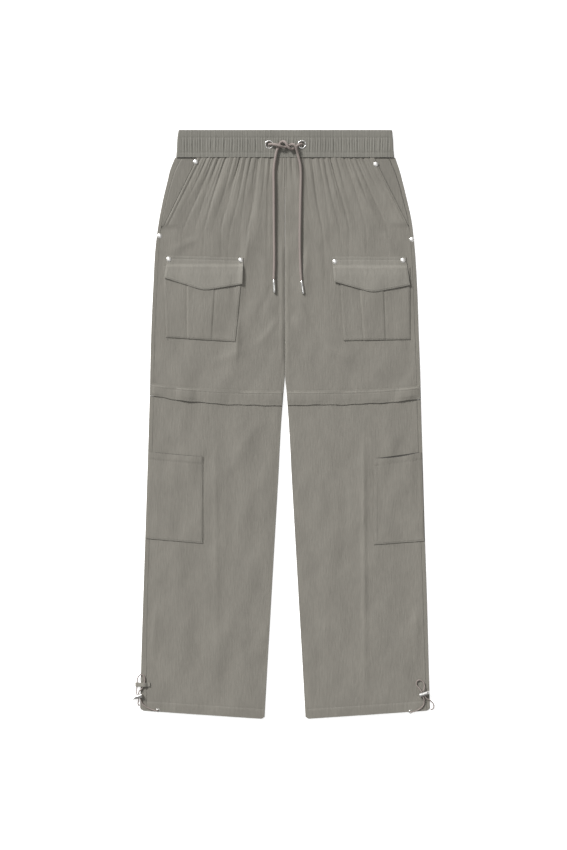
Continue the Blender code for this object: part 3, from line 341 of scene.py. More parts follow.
# Hem cords: from the hem eyelet through the lock, round its loop, back through it to the side of the hem.
HEM_CORD_WIDTH = 2.2
HEM_ROUTES = {
    "left": (
        (-224.6, -504.8, 3.7), (-224.6, -504.8, 4.7), (-225.2, -504.8, 5.7), (-226.8, -504.7, 6.1),
        (-229.8, -504.4, 5.8), (-234.6, -503.2, 5.0),
        (-241.0, -500.8, 4.5), (-247.4, -497.0, 4.5), (-252.2, -491.6, 4.9), (-254.4, -487.0, 5.9),
        (-255.6, -483.0, 6.4), (-256.9, -479.5, 6.4), (-258.2, -475.8, 6.4), (-257.8, -471.6, 5.9),
        (-254.6, -468.4, 5.0), (-251.2, -464.2, 4.6), (-248.8, -457.5, 4.5), (-247.6, -450.0, 4.5),
        (-249.2, -444.0, 4.5), (-253.4, -441.2, 4.4), (-258.0, -443.8, 3.6), (-260.6, -450.0, 3.1),
        (-261.3, -458.0, 3.1), (-261.7, -464.6, 3.2), (-261.9, -470.4, 4.2), (-261.4, -475.8, 5.4),
        (-259.7, -480.5, 5.6),
        (-258.2, -484.6, 5.5), (-258.6, -488.6, 4.2), (-259.6, -492.4, 2.5), (-259.2, -495.4, 1.6),
        (-256.9, -496.4, 1.5),
    ),
    "right": (
        (221.7, -507.2, 3.8), (221.7, -507.2, 4.8), (222.3, -507.2, 5.8), (223.9, -507.1, 6.2),
        (226.8, -506.6, 5.9), (231.6, -505.2, 5.0),
        (237.6, -502.2, 4.6), (243.0, -497.2, 4.6), (245.6, -491.0, 5.0), (245.3, -485.6, 6.2),
        (243.9, -481.2, 6.9), (242.2, -475.9, 6.9), (240.6, -470.8, 6.9), (236.8, -465.4, 5.8),
        (232.6, -460.0, 4.7), (232.0, -454.4, 4.5), (236.6, -451.0, 4.5), (242.2, -453.0, 4.5),
        (245.8, -458.6, 4.7), (245.9, -464.6, 5.9), (243.7, -470.2, 6.9), (245.2, -474.9, 6.9),
        (246.8, -479.9, 6.9), (250.2, -483.8, 5.8), (255.4, -486.6, 4.7), (260.2, -490.6, 3.2),
        (262.7, -496.0, 1.7), (261.9, -500.8, 1.5), (259.6, -503.0, 1.5), (257.4, -503.4, 1.5),
    ),
}
HEM_EYELETS = {"left": (-224.6, -504.8), "right": (221.7, -507.2)}
HEM_EYELET_RADIUS = 3.7
HEM_EYELET_HOLE = 1.6
TAB_PATH = ((238.0, 3.9), (243.0, 4.2), (245.6, 6.0), (248.0, 6.8), (252.0, 6.8), (257.0, 6.0), (261.0, 5.3),
            (263.2, 4.4), (264.0, 3.1), (263.2, 1.8), (261.6, 1.1), (259.8, 0.9), (258.0, 0.9))
TAB_SPAN = (-462.8, -455.8)

# Camera: straight above, as far as gives the photograph's scale.
LENS = 90.0
SENSOR = 36.0
CAMERA_AT = (-2.65, -0.9, 3755.0)

# Finishes: colour, roughness, metallic.
FINISHES = {
    "cloth": ((0.202, 0.190, 0.164, 1.0), 0.62, 0.0),
    "band": ((0.188, 0.181, 0.158, 1.0), 0.62, 0.0),
    # shade: painted shade, a near-black colour for the strip that stands in for the shadow inside the shin
    # pocket's mouth
    "shade": ((0.060, 0.056, 0.050, 1.0), 0.80, 0.0),
    "flap": ((0.226, 0.214, 0.186, 1.0), 0.60, 0.0),
    "facing": ((0.188, 0.177, 0.153, 1.0), 0.66, 0.0),
    "thread": ((0.200, 0.189, 0.169, 1.0), 0.55, 0.0),
    "tape": ((0.10, 0.095, 0.085, 1.0), 0.8, 0.0),
    "cord": ((0.262, 0.222, 0.202, 1.0), 0.78, 0.0),
    "metal": ((0.86, 0.85, 0.825, 1.0), 0.24, 1.0),
    "rivet": ((0.90, 0.885, 0.855, 1.0), 0.45, 1.0),
    "lock": ((0.58, 0.57, 0.55, 1.0), 0.28, 1.0),
    "floor": ((0.93, 0.93, 0.93, 1.0), 0.9, 0.0),
}
SLOTS = {kind: "cloth" for kind in ("cloth", "band", "shade", "flap", "facing", "thread")}
SLOTS.update(tape="tape", cord="cord", metal="metal", rivet="metal", lock="metal")
READY = {}


def column(rows, names, name):
    """One named column of a table."""
    return np.array([row[names.index(name)] for row in rows], float)


def row_of(rows, names, side):
    """The row of a table for one side, as a dictionary."""
    return next(dict(zip(names, row)) for row in rows if row[0] == side)


def smooth(at, knots, values):
    """A smooth curve through a table: cubic pieces with the slopes of its neighbours."""
    order = np.argsort(knots)
    knots, values = knots[order], values[order]
    slopes = np.gradient(values, knots)
    at = np.clip(np.asarray(at, float), knots[0], knots[-1])
    i = np.clip(np.searchsorted(knots, at) - 1, 0, len(knots) - 2)
    width = knots[i + 1] - knots[i]
    t = (at - knots[i]) / width
    return (
        values[i] * (1 + 2 * t) * (1 - t) ** 2
        + values[i + 1] * t * t * (3 - 2 * t)
        + slopes[i] * width * t * (1 - t) ** 2
        - slopes[i + 1] * width * t * t * (1 - t)
    )


def step(at, low, high):
    """0 below low and 1 above high, with a smooth rise between."""
    t = np.clip((np.asarray(at, float) - low) / (high - low), 0, 1)
    return t * t * (3 - 2 * t)


def bell(at, width):
    """1 at 0, falling off smoothly on both sides over a width."""
    return np.exp(-((at / width) ** 2))


def leg(name, side, y):
    """A column of the leg's outline at heights y."""
    label = name if name == "inner" else f"{name}_{side}"
    found = smooth(y, column(LEG_SECTIONS, LEG_COLUMNS, "y"), column(LEG_SECTIONS, LEG_COLUMNS, label))
    return np.maximum(found, SEAM_GAP / 2)


def side_seam(side, y):
    """Distance of the side seam from the middle line."""
    return leg("outer", side, y) - leg("lip", side, y)


def slant(side, y):
    """Distance of the hand pocket's opening from the middle line."""
    line = row_of(SLANTS, SLANT_COLUMNS, side)
    return side_seam(side, line["bottom_y"]) - line["slope"] * (np.asarray(y, float) - line["bottom_y"])


def front_edge(side, y):
    """Outer edge of the front panel: the side seam, cut back along the hand pocket."""
    return np.minimum(side_seam(side, y) - SEAM_GAP / 2, slant(side, y))


def fold_edge(side, y):
    """Distance at which the back's outer fold starts."""
    return leg("outer", side, y) - FOLD_OUT


def across_leg(side, distance, y):
    """Place across the leg: 0 at its inner edge, 1 at its outer edge."""
    inner = leg("inner", side, y)
    return np.clip((distance - inner) / (leg("outer", side, y) - inner), 0, 1)


def hem(side, distance):
    """Height of the hem at a distance from the middle line."""
    across = across_leg(side, distance, np.full(np.shape(distance), HEM_INNER))
    return HEM_INNER + (HEM_OUTER - HEM_INNER) * across


def knee(side, which, distance):
    """Height of the cover's seam or free edge at a distance from the middle line."""
    line = row_of(KNEE_LINES, KNEE_COLUMNS, side)
    across = across_leg(side, distance, np.full(np.shape(distance), KNEE_Y))
    rise = line[f"{which}_outer"] - line[f"{which}_inner"]
    return line[f"{which}_inner"] + rise * across ** line["bow"]


def along_line(fold, x, y):
    """How far points are along a fold's line, as a share of it, and how far to its side."""
    heading = np.array([fold["x1"] - fold["x0"], fold["y1"] - fold["y0"]])
    length = math.hypot(*heading)
    heading = heading / length
    run = (x - fold["x0"]) * heading[0] + (y - fold["y0"]) * heading[1]
    return run / length, (x - fold["x0"]) * heading[1] - (y - fold["y0"]) * heading[0]


def folds(x, y):
    """Height of the solids' folds: a rounded ridge along each line, faded at both ends."""
    total = np.zeros(np.broadcast(x, y).shape)
    for row in FOLDS:
        fold = dict(zip(FOLD_COLUMNS, row))
        run, off = along_line(fold, x, y)
        ends = step(run, 0, 0.2) * (1 - step(run, 0.8, 1))
        total = total + fold["height"] * ends * bell(off, fold["width"])
    return total


def creases(x, y):
    """Height of the creases: ridges and troughs that bow sideways and widen towards their far end."""
    total = np.zeros(np.broadcast(x, y).shape)
    for row in CREASES:
        crease = dict(zip(CREASE_COLUMNS, row))
        run, off = along_line(crease, x, y)
        within = np.clip(run, 0, 1)
        off = off - crease["bow"] * np.sin(math.pi * within)
        ends = step(run, 0, 0.3) * (1 - step(run, 0.55, 1))
        total = total + crease["height"] * ends * bell(off, crease["width"] * (0.75 + 0.5 * within))
    return CREASE_SCALE * total


def waves(x, y):
    """Slow unevenness of the cloth: sine waves in fixed directions, each bent by a cross wave."""
    total = np.zeros(np.broadcast(x, y).shape)
    for length, heading, phase, height in WAVES:
        c, s = math.cos(math.radians(heading)), math.sin(math.radians(heading))
        along, across = x * c + y * s, y * c - x * s
        bend = 0.9 * np.sin(across / (0.35 * length) + phase) + 0.6 * np.sin(across / (0.8 * length))
        total = total + height * np.sin(2 * math.pi * along / length + phase + bend)
    return WAVE_SCALE * total


def small_gathers(place, y):
    """Small troughs between the gathers, of uneven depth and length, from the waist seam down."""
    at = place * SMALL_GATHERS + 0.5 * np.sin(place * 23) + 0.3 * np.sin(place * 61 + 1)
    depth = 0.70 + 0.35 * np.sin(place * 37 + 2)
    reach = 44 + 24 * np.sin(place * 29)
    total = -depth * bell(LEG_TOP - y, reach) * (0.5 + 0.5 * np.cos(2 * math.pi * at))
    for row in GATHERS:
        gather = dict(zip(GATHER_COLUMNS, row))
        lean = 0.012 * np.sin(gather["length"] + (LEG_TOP - y) / 40)
        reach = bell(LEG_TOP - y, 1.5 * gather["length"])
        total = total - 1.25 * gather["depth"] * reach * bell(place - gather["place"] - lean, 0.009)
    return total


def front_mid(side, distance, y):
    """Middle of the solid's front wall over a place of the leg, lip and panel alike."""
    distance, y = np.broadcast_arrays(np.asarray(distance, float), np.asarray(y, float))
    inner = leg("inner", side, y)
    edge = front_edge(side, y)
    place = np.clip((distance - inner) / (edge - inner), 0, 1)
    fade = np.clip((1 - place) / 0.06, 0, 1) * np.clip(place / 0.03 + step(y, CROTCH, CROTCH + 60), 0, 1)
    down = LEG_TOP - y
    lift = FULLNESS * 4 * place * (1 - place) + WAIST_RAISE * bell(down, 60)
    for row in GATHERS:
        gather = dict(zip(GATHER_COLUMNS, row))
        reach = bell(down, gather["length"]) ** 2
        lift = lift - gather["depth"] * reach * bell(place - gather["place"], GATHER_WIDTH)
    lift = lift + 0.6 * bell(y - 55.0, 30.0) + folds(SIDES[side] * distance, y)
    lift = lift * fade
    line = row_of(SLANTS, SLANT_COLUMNS, side)
    over = step(y, line["bottom_y"], line["bottom_y"] + SLANT_RISE) * (1 - step(edge - distance, 13.0, 42.0))
    lift = lift + over * (np.maximum(lift, SLANT_LIFT) - lift)
    lip = distance > edge + 0.01
    return FRONT_MID + np.where(lip, 0.0, lift)


def front_z(side, distance, y):
    """Middle of the front shell: the solid's form with the creases, small gathers and sewn edges on it."""
    distance, y = np.broadcast_arrays(np.asarray(distance, float), np.asarray(y, float))
    x = SIDES[side] * distance
    inner, edge = leg("inner", side, y), front_edge(side, y)
    place = np.clip((distance - inner) / (edge - inner), 0, 1)
    hold = step(1 - place, 0, 0.07) * np.clip(step(place, 0, 0.05) + step(y, CROTCH, CROTCH + 60), 0, 1)
    lift = front_mid(side, distance, y) - FRONT_MID
    lift = np.maximum(lift + hold * (creases(x, y) + waves(x, y) + small_gathers(place, y)), -0.25)
    seam = bell(x, 1.4) * (0.3 + 0.25 * (1 - step(y, 300, 340))) * step(y, 70, 100)
    ridge = (bell(x + 5.6, 3.2) + 0.5 * bell(x - 5.0, 3.0)) * step(y, 96, 130) * (1 - step(y, 300, 335))
    corner = row_of(SLANTS, SLANT_COLUMNS, side)["bottom_y"]
    inset = edge - distance
    turned = step(y, corner + 4, corner + 14) * (inset > -0.01)
    rows = 0.8 * bell(inset - 2.2, 1.0) + 1.0 * bell(inset - 8.2, 1.2)
    turned = turned * (0.7 * (1 - step(inset, 7.6, 9.6)) - rows)
    return FRONT_MID + lift - seam + 1.1 * ridge + turned


def hem_line(side, distance):
    """Height of the hem with its corners rounded."""
    inner, outer = leg("inner", side, HEM_LEVEL), leg("outer", side, HEM_LEVEL)
    inset = np.clip(np.minimum(distance - inner, outer - distance), 0, HEM_CORNER)
    return hem(side, distance) + HEM_CORNER - np.sqrt(HEM_CORNER**2 - (HEM_CORNER - inset) ** 2)


def down_hem(side, distance, y):
    """The turned hem of a lower leg: a little thicker, with a sewn trough and puckers along it."""
    up = y - hem(side, distance)
    pucker = 0.10 * np.sin(distance * 2 * math.pi / 7.3 + 1.4 * np.sin(distance / 17)) * bell(up - 14, 12)
    return 0.3 * (1 - step(up, 16.5, 18.5)) - 0.4 * bell(up - 17, 0.9) + pucker


def patch_place(corners, distance, y):
    """Where points lie on a patch: shares across and down, and millimetres from its nearest sewn edge."""
    c = dict(zip(PATCH_COLUMNS, corners))
    t = (distance - c["inner_top"]) / (c["outer_top"] - c["inner_top"])
    top = c["top_inner_y"] + (c["top_outer_y"] - c["top_inner_y"]) * t
    bottom = c["bottom_inner_y"] + (c["bottom_outer_y"] - c["bottom_inner_y"]) * t
    s = (top - y) / (top - bottom)
    inner = c["inner_top"] + (c["inner_bottom"] - c["inner_top"]) * s
    outer = c["outer_top"] + (c["outer_bottom"] - c["outer_top"]) * s
    border = np.minimum(np.minimum(distance - inner, outer - distance), y - bottom)
    return (distance - inner) / (outer - inner), s, border


def sewn(border):
    """Profile of a doubled, twice-sewn edge at distances in from it."""
    low = 0.7 * (1 - step(border, 0, 2.2))
    rows = 0.3 * bell(border - 2.2, 0.8) + 0.3 * bell(border - 5.6, 0.8)
    return 0.25 * (1 - step(border, 6.2, 7.6)) - low - rows


def pleat_line(side, which, y):
    """Distance of a box pleat's inner (0) or outer (1) line at heights y."""
    (high_y, *high), (low_y, *low) = PLEATS[side]
    return low[which] + (high[which] - low[which]) * (y - low_y) / (high_y - low_y)


def thigh_z(side, distance, y):
    """Middle of the thigh pocket's shell."""
    t, s, border = patch_place(THIGH_POCKETS[side], distance, y)
    inner, outer = distance - pleat_line(side, 0, y), pleat_line(side, 1, y) - distance
    raised = step(inner, -1.0, 1.0) * step(outer, -1.0, 1.0)
    raised = raised * np.interp(s, [0, 0.2, 0.45, 0.7, 0.95, 1.0], [0.3, 1.0, 1.0, 0.9, 0.6, 0.3])
    full = 0.6 * np.sin(math.pi * np.clip(t, 0, 1)) * np.interp(s, [0, 0.2, 0.6, 1.0], [0.1, 1.0, 0.9, 0.0])
    ruck = 0.5 * waves(1.6 * distance + 40, 1.3 * y) * step(border, 3, 20)
    grooves = 0.4 * (bell(inner + 1.6, 1.2) + bell(outer + 1.6, 1.2))
    relief = PLEAT_RAISE * raised + full + ruck + sewn(border) - grooves
    return front_z(side, distance, y) + LAYER + POCKET_EASE + relief


def flap_bottom(side, distance):
    """Height of the flap's pointed lower edge."""
    c = dict(zip(PATCH_COLUMNS, THIGH_FLAPS[side]))
    at, low = FLAP_POINTS[side]
    start, end = c["inner_bottom"], c["outer_bottom"]
    inner = c["bottom_inner_y"] + (low - c["bottom_inner_y"]) * (distance - start) / (at - start)
    outer = low + (c["bottom_outer_y"] - low) * (distance - at) / (end - at)
    blunt = 1.2 * bell(distance - at, 6.0)
    return np.where(distance <= at, inner, outer) + blunt


def flap_z(side, distance, y):
    """Middle of the flap's shell: down on the leg above the pocket's mouth, then over the pocket."""
    c = dict(zip(PATCH_COLUMNS, THIGH_FLAPS[side]))
    pocket = dict(zip(PATCH_COLUMNS, THIGH_POCKETS[side]))
    mouth = (pocket["top_inner_y"] + pocket["top_outer_y"]) / 2
    low = flap_bottom(side, distance)
    share = np.clip((c["top_inner_y"] - y) / (c["top_inner_y"] - low), 0, 1)
    inner = c["inner_top"] + (c["inner_bottom"] - c["inner_top"]) * share
    outer = c["outer_top"] + (c["outer_bottom"] - c["outer_top"]) * share
    top = c["top_inner_y"] + (c["top_outer_y"] - c["top_inner_y"]) * (distance - inner) / (outer - inner)
    border = np.minimum(np.minimum(distance - inner, outer - distance), y - low)
    raised = 0.1 + (LAYER + 0.75) * step(mouth + 4 - y, 0, 5) + 0.95 * step(mouth - y, 0, 16)
    sag = 0.35 * waves(1.3 * distance, 1.5 * y + 30) * step(border, 1, 12)
    edge = sewn(border) * (1 - step(y, mouth - 2, mouth + 4)) - 0.4 * bell(top - y - 5.3, 0.9)
    return front_z(side, distance, y) + LAYER + raised + edge + sag


def shin_z(side, distance, y):
    """Middle of the shin pocket's shell, its mouth a little open."""
    t, s, border = patch_place(SHIN_POCKETS[side], distance, y)
    middle = np.sin(math.pi * np.clip(t, 0, 1))
    mouth = SHIN_MOUTH_LIFT[side] * np.interp(s, [0, 0.2, 0.45, 1.0], [1.0, 0.45, 0.1, 0.0]) * middle
    ruck = 0.45 * waves(1.4 * distance, 1.2 * y) * step(border, 3, 20)
    down = s * 150
    hemmed = 0.3 * (1 - step(down, 12, 14)) - 0.4 * bell(down - 12.5, 0.9)
    near_fold = step(border, -0.5, 1.0)
    return front_z(side, distance, y) + LAYER + mouth + ruck + (sewn(border) + hemmed) * near_fold


def cover_z(side, distance, y):
    """Middle of the cover's shell: sewn down above the zip, over it, and a little proud at its free edge."""
    inner = leg("inner", side, KNEE_Y) + 0.4
    outer = fold_edge(side, KNEE_Y) - 0.2
    place = (distance - inner) / (outer - inner)
    over = front_z(side, distance, y) + LAYER
    high = step(place, 0, 0.015) * (1 - step(place, 0.972, 0.995))
    top = COVER_MID * high + (FRONT_MID + LAYER + 0.1) * (1 - high)
    seam, edge = knee(side, "seam", distance), knee(side, "edge", distance)
    sink = seam - y
    fall = 0.8 * step(sink, 14.0, seam - edge)
    bump = SLIDER_BULGE * (1 - step(np.abs(distance - SLIDER_AT[side]), 0.5 * SLIDER_LONG, 1.7 * SLIDER_LONG))
    rise = step(sink, 0.3, 3.0)
    ruck = 0.35 * waves(1.5 * distance, 2.0 * y) * rise * high - 0.3 * bell(sink - 4.6, 0.9) * high
    return over + 0.05 + ((np.maximum(top, over) - over) * (1 - fall) + bump * (1 - 0.5 * fall) + ruck) * rise


def marks(near, far, count):
    """Lines of a grid between two edges, as shares of the way and offsets in millimetres.

    near and far are offsets from each edge; count lines lie evenly between them.
    """
    near, far = np.asarray(near, float), np.asarray(far, float)
    between = np.linspace(0, 1, count + 2)[1:-1]
    share = np.concatenate([np.zeros(len(near)), between, np.ones(len(far))])
    offset = np.concatenate([near, near[-1] * (1 - between) - far[-1] * between, -far[::-1]])
    return share, offset


def socket(shader, name, value):
    """Set one of a shader's own inputs."""
    shader.inputs[name].default_value = value


def node(tree, kind, inputs=None, **settings):
    """A shader node with its settings, and its inputs set or joined to sockets."""
    made = tree.nodes.new(kind)
    for key, value in settings.items():
        setattr(made, key, value)
    for name, value in (inputs or {}).items():
        if isinstance(value, bpy.types.NodeSocket):
            tree.links.new(value, made.inputs[name])
        else:
            made.inputs[name].default_value = value
    return made


def noise(tree, where, scale, detail):
    """Values of a noise stretched by scale, in cycles per metre along each axis."""
    place = node(tree, "ShaderNodeMapping", {"Vector": where, "Scale": scale})
    inputs = {"Vector": place.outputs[0], "Scale": 1.0, "Detail": detail}
    return node(tree, "ShaderNodeTexNoise", inputs).outputs[0]


def arithmetic(tree, operation, first, second):
    """Result of a math node on two values or sockets."""
    return node(tree, "ShaderNodeMath", {0: first, 1: second}, operation=operation).outputs[0]


def surface_group(name, streak_scale, fine_scale, tone, depth):
    """A shader group for woven pieces: patchy, streaked colour, roughness and a small relief.

    tone is how far the colour varies, and depth the relief's height in metres.
    """
    tree = bpy.data.node_groups.new(name, "ShaderNodeTree")
    tree.interface.new_socket("Colour", in_out="INPUT", socket_type="NodeSocketColor")
    tree.interface.new_socket("Colour", in_out="OUTPUT", socket_type="NodeSocketColor")
    tree.interface.new_socket("Roughness", in_out="OUTPUT", socket_type="NodeSocketFloat")
    tree.interface.new_socket("Normal", in_out="OUTPUT", socket_type="NodeSocketVector")
    start, end = tree.nodes.new("NodeGroupInput"), tree.nodes.new("NodeGroupOutput")
    where = tree.nodes.new("ShaderNodeTexCoord").outputs["Object"]
    streak = noise(tree, where, streak_scale, 3.0)
    patch = noise(tree, where, (24, 15, 24), 2.0)
    fine = noise(tree, where, fine_scale, 1.0)
    shade = arithmetic(tree, "MULTIPLY_ADD", streak, tone)
    shade.node.inputs[2].default_value = 1 - tone / 2
    slow = arithmetic(tree, "MULTIPLY_ADD", patch, 0.8 * tone)
    slow.node.inputs[2].default_value = 1 - 0.4 * tone
    both = arithmetic(tree, "MULTIPLY", shade, slow)
    tinted = node(tree, "ShaderNodeVectorMath", {0: start.outputs[0], "Scale": both}, operation="SCALE")
    tree.links.new(tinted.outputs[0], end.inputs["Colour"])
    rough = arithmetic(tree, "MULTIPLY_ADD", streak, 0.2)
    rough.node.inputs[2].default_value = 0.5
    tree.links.new(rough, end.inputs["Roughness"])
    height = arithmetic(tree, "ADD", streak, arithmetic(tree, "MULTIPLY", fine, 0.3))
    bump = node(tree, "ShaderNodeBump", {"Height": height, "Distance": depth, "Strength": 1.0})
    tree.links.new(bump.outputs[0], end.inputs["Normal"])
    return tree


def material(kind):
    """The material of one finish, made once."""
    if kind in READY:
        return READY[kind]
    colour, roughness, metallic = FINISHES[kind]
    made = bpy.data.materials.new(kind)
    made.use_nodes = True
    tree = made.node_tree
    shader = tree.nodes["Principled BSDF"]
    socket(shader, "Base Color", colour)
    socket(shader, "Roughness", roughness)
    socket(shader, "Metallic", metallic)
    if SLOTS.get(kind) in ("cloth", "cord", "tape"):
        group = "weave" if SLOTS[kind] == "cloth" else "braid"
        if group not in READY:
            READY["weave"] = surface_group("weave", (400, 62, 400), (2400, 2400, 2400), 0.30, 0.0005)
            READY["braid"] = surface_group("braid", (900, 900, 900), (3000, 3000, 3000), 0.22, 0.0001)
        used = node(tree, "ShaderNodeGroup", node_tree=READY[group])
        used.inputs[0].default_value = colour
        for name, wanted in (("Colour", "Base Color"), ("Roughness", "Roughness"), ("Normal", "Normal")):
            tree.links.new(used.outputs[name], shader.inputs[wanted])
        socket(shader, "Specular IOR Level", 0.3)
        socket(shader, "Sheen Weight", 0.1)
        socket(shader, "Sheen Roughness", 0.5)
    if kind == "floor":
        socket(shader, "Emission Color", (1.0, 1.0, 1.0, 1.0))
        socket(shader, "Emission Strength", 0.62)
    READY[kind] = made
    return made


def add(name, points, faces, kind, replaces=(), ride=True, closed=False):
    """A piece from points in millimetres and faces, smooth shaded, in its place on the frame."""
    mesh = bpy.data.meshes.new(name)
    mesh.from_pydata((np.asarray(points, float) * MM).tolist(), [], [list(face) for face in faces])
    if closed:
        made = bmesh.new()
        made.from_mesh(mesh)
        bmesh.ops.remove_doubles(made, verts=made.verts, dist=1e-7)
        bmesh.ops.recalc_face_normals(made, faces=made.faces)
        made.to_mesh(mesh)
        made.free()
    mesh.shade_smooth()
    mesh.set_sharp_from_angle(angle=math.radians(50))
    mesh.materials.append(material(kind))
    piece = bpy.data.objects.new(name, mesh)
    bpy.context.scene.collection.objects.link(piece)
    if ride:
        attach(piece, "root")
    if replaces:
        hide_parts(*replaces)
    return piece


def grid_faces(rows, columns, ring=False):
    """Faces of a grid of points whose rows follow each other."""
    number = np.arange(rows * columns).reshape(rows, columns)
    if ring:
        number = np.concatenate([number, number[:, :1]], 1)
    return np.stack([number[:-1, :-1], number[1:, :-1], number[1:, 1:], number[:-1, 1:]], -1).reshape(-1, 4)


def cloth(node_name, side, distance, y, z, kind="cloth", wall=SHELL):
    """A sheet of cloth on a leg: a grid through the middle of its wall, given thickness by Solidify."""
    z = np.broadcast_to(z, distance.shape)
    points = np.stack([SIDES[side] * distance, y, z], -1)
    if side == "left":
        points = points[:, ::-1]
    rows, columns = distance.shape
    points, faces = points.reshape(-1, 3), grid_faces(rows, columns)
    piece = add(f"cloth_{node_name}_{side}", points, faces, kind, [f"{node_name}_{side}"])
    thick = piece.modifiers.new("wall", "SOLIDIFY")
    thick.thickness = wall * MM
    thick.offset = 0.0
    return piece


def end_heights(side, line, level, across, edge):
    """Heights of a panel's end under its columns, read at the level given."""
    start = leg("inner", side, level) + FOLD_OUT
    return line(start + (edge(side, level) - start) * across[0] + across[1])


def inner_roll(side, y):
    """Three columns of a layer's rolled inner edge: distances, and how far they lean to the other layer."""
    angle = np.radians([135.0, 120.0, 105.0])[None, :]
    turned = step(CROTCH + 8 - y, 0, 16)[:, None]
    inner = leg("inner", side, y)[:, None]
    flat = inner + np.array([0.0, 0.5, 0.95])[None, :]
    curled = inner + np.array([0.1, 0.6, 1.15])[None, :]
    return flat + (curled - flat) * turned, FOLD_RADIUS * (1 - np.sin(angle)) * turned


def front_panel(name, side, top, bottom, across, down, extra=None):
    """A front panel between two lines, each a function of distance and the level to read it at."""
    high = end_heights(side, *top, across, front_edge)
    low = end_heights(side, *bottom, across, front_edge)
    y = high + (low - high) * down[0][:, None] - down[1][:, None]
    start = leg("inner", side, y) + FOLD_OUT
    distance = start + (front_edge(side, y) - start) * across[0] + across[1]
    roll, drop = inner_roll(side, y[:, 0])
    edge_y = np.repeat(y[:, :1], 3, 1)
    distance = np.concatenate([roll, distance], 1)
    y = np.concatenate([edge_y, y], 1)
    z = front_z(side, distance, y)
    if extra is not None:
        z = z + extra(side, distance, y)
    z[:, :3] -= drop
    cloth(name, side, distance, y, z)


def back_panel(name, side, top, bottom, rows):
    """A back panel: flat underneath, round the outer fold, and up to the side seam on the front."""
    share, offset = marks([0, 1.5, 4], [0, 1.5, 4, 8], 40)
    down = marks([0, 0.8, 2.4], [0, 0.8, 2.4], rows)
    angles = np.radians(np.linspace(-90, 90, 11))[1:]
    lip = np.array([0.1, 0.3, 0.6, 0.85, 0.95, 1.0])
    flat = slice(3, 3 + len(share))
    fold = slice(flat.stop, flat.stop + len(angles))
    total = fold.stop + len(lip)

    def plan(y):
        """Distances of all columns at their heights."""
        y = np.broadcast_to(y, (len(y), total))
        start, outer = leg("inner", side, y) + FOLD_OUT, fold_edge(side, y)
        across = start[:, flat] + (outer - start)[:, flat] * share + offset
        turned = outer[:, fold] + FOLD_RADIUS * np.cos(angles)
        seam = side_seam(side, y[:, fold.stop:]) + SEAM_GAP / 2
        ending = outer[:, fold.stop:] + (seam - outer[:, fold.stop:]) * lip
        return np.concatenate([inner_roll(side, y[:, 0])[0], across, turned, ending], 1)

    high, low = (line(plan(np.array([[at]]))) for line, at in (top, bottom))
    y = high + (low - high) * down[0][:, None] - down[1][:, None]
    distance = plan(y)
    level = distance[:, flat]
    start, centre = leg("inner", side, y[:, flat]) + FOLD_OUT, fold_edge(side, y[:, flat])
    place = (level - start) / (centre - start)
    x = -SIDES[side] * level
    level_y = y[:, flat]
    relief = 0.5 * creases(x, level_y) + 0.4 * waves(x, level_y + 40) - 0.5 * small_gathers(place, level_y)
    relief = np.clip(relief, 0, 0.4) * step(place, 0, 0.06) * step(1 - place, 0, 0.06)
    z = np.concatenate([
        BACK_MID + inner_roll(side, y[:, 0])[1], BACK_MID + relief,
        FOLD_MID + FOLD_RADIUS * np.sin(angles) + np.zeros((len(y), 1)),
        np.full((len(y), len(lip)), FRONT_MID)], 1)
    cloth(name, side, distance, y, z)


def make_uppers(side):
    """The shorts part of one leg, with the facing of its hand pocket."""
    waist = (lambda d: np.full(d.shape, LEG_TOP), KNEE_Y)
    near = [0, 0.5, 1.2, 2.2, 3.4, 5, 6.8, 8.6]
    far = [0, 0.35, 1.0, 2.2, 3.3, 4.6, 6.2, 7.6, 8.9, 10.4]
    back_panel("back_upper", side, waist, (lambda d: knee(side, "seam", d), KNEE_Y), 78)
    front_panel("front_upper", side, waist, (lambda d: knee(side, "seam", d) - ZIP_INSET, KNEE_Y),
                marks(near, far, 128), marks([0, 0.6, 1.6, 3, 5, 7], [0, 1, 2.4], 160))
    above = row_of(SLANTS, SLANT_COLUMNS, side)["bottom_y"]
    y = np.linspace(LEG_TOP, above + 5, 64)
    outer = side_seam(side, y) - SEAM_GAP / 2
    under = (FACING_UNDERLAP + SEAM_GAP) * step(y, above + SLANT_RISE, above + 24)
    inner = np.minimum(slant(side, y) + SEAM_GAP, outer - 0.9) - under
    distance = inner[:, None] + (outer - inner)[:, None] * np.linspace(0, 1, 14)
    heights = np.broadcast_to(y[:, None], distance.shape)
    cloth("pocket_facing", side, distance, heights, FRONT_MID, "facing")


def make_lowers(side):
    """The zip-off lower leg."""
    hemline = (lambda d: hem_line(side, d), HEM_LEVEL)
    start = ZIP_INSET + ZIP_HEIGHT + 2 * SEAM_GAP
    below_cover = (lambda d: knee(side, "edge", d) - SEAM_GAP, KNEE_Y)
    back_panel("back_lower", side, below_cover, hemline, 100)
    front_panel("front_lower", side, (lambda d: knee(side, "seam", d) - start, KNEE_Y), hemline,
                marks([0, 0.5, 1.4, 3, 5], [0, 0.5, 1.4, 3, 5], 104),
                marks([0, 1, 2.4], [0, 0.5, 1.5, 4, 7, 10, 13, 15.4, 16.2, 17, 17.8, 18.8, 21], 180),
                down_hem)


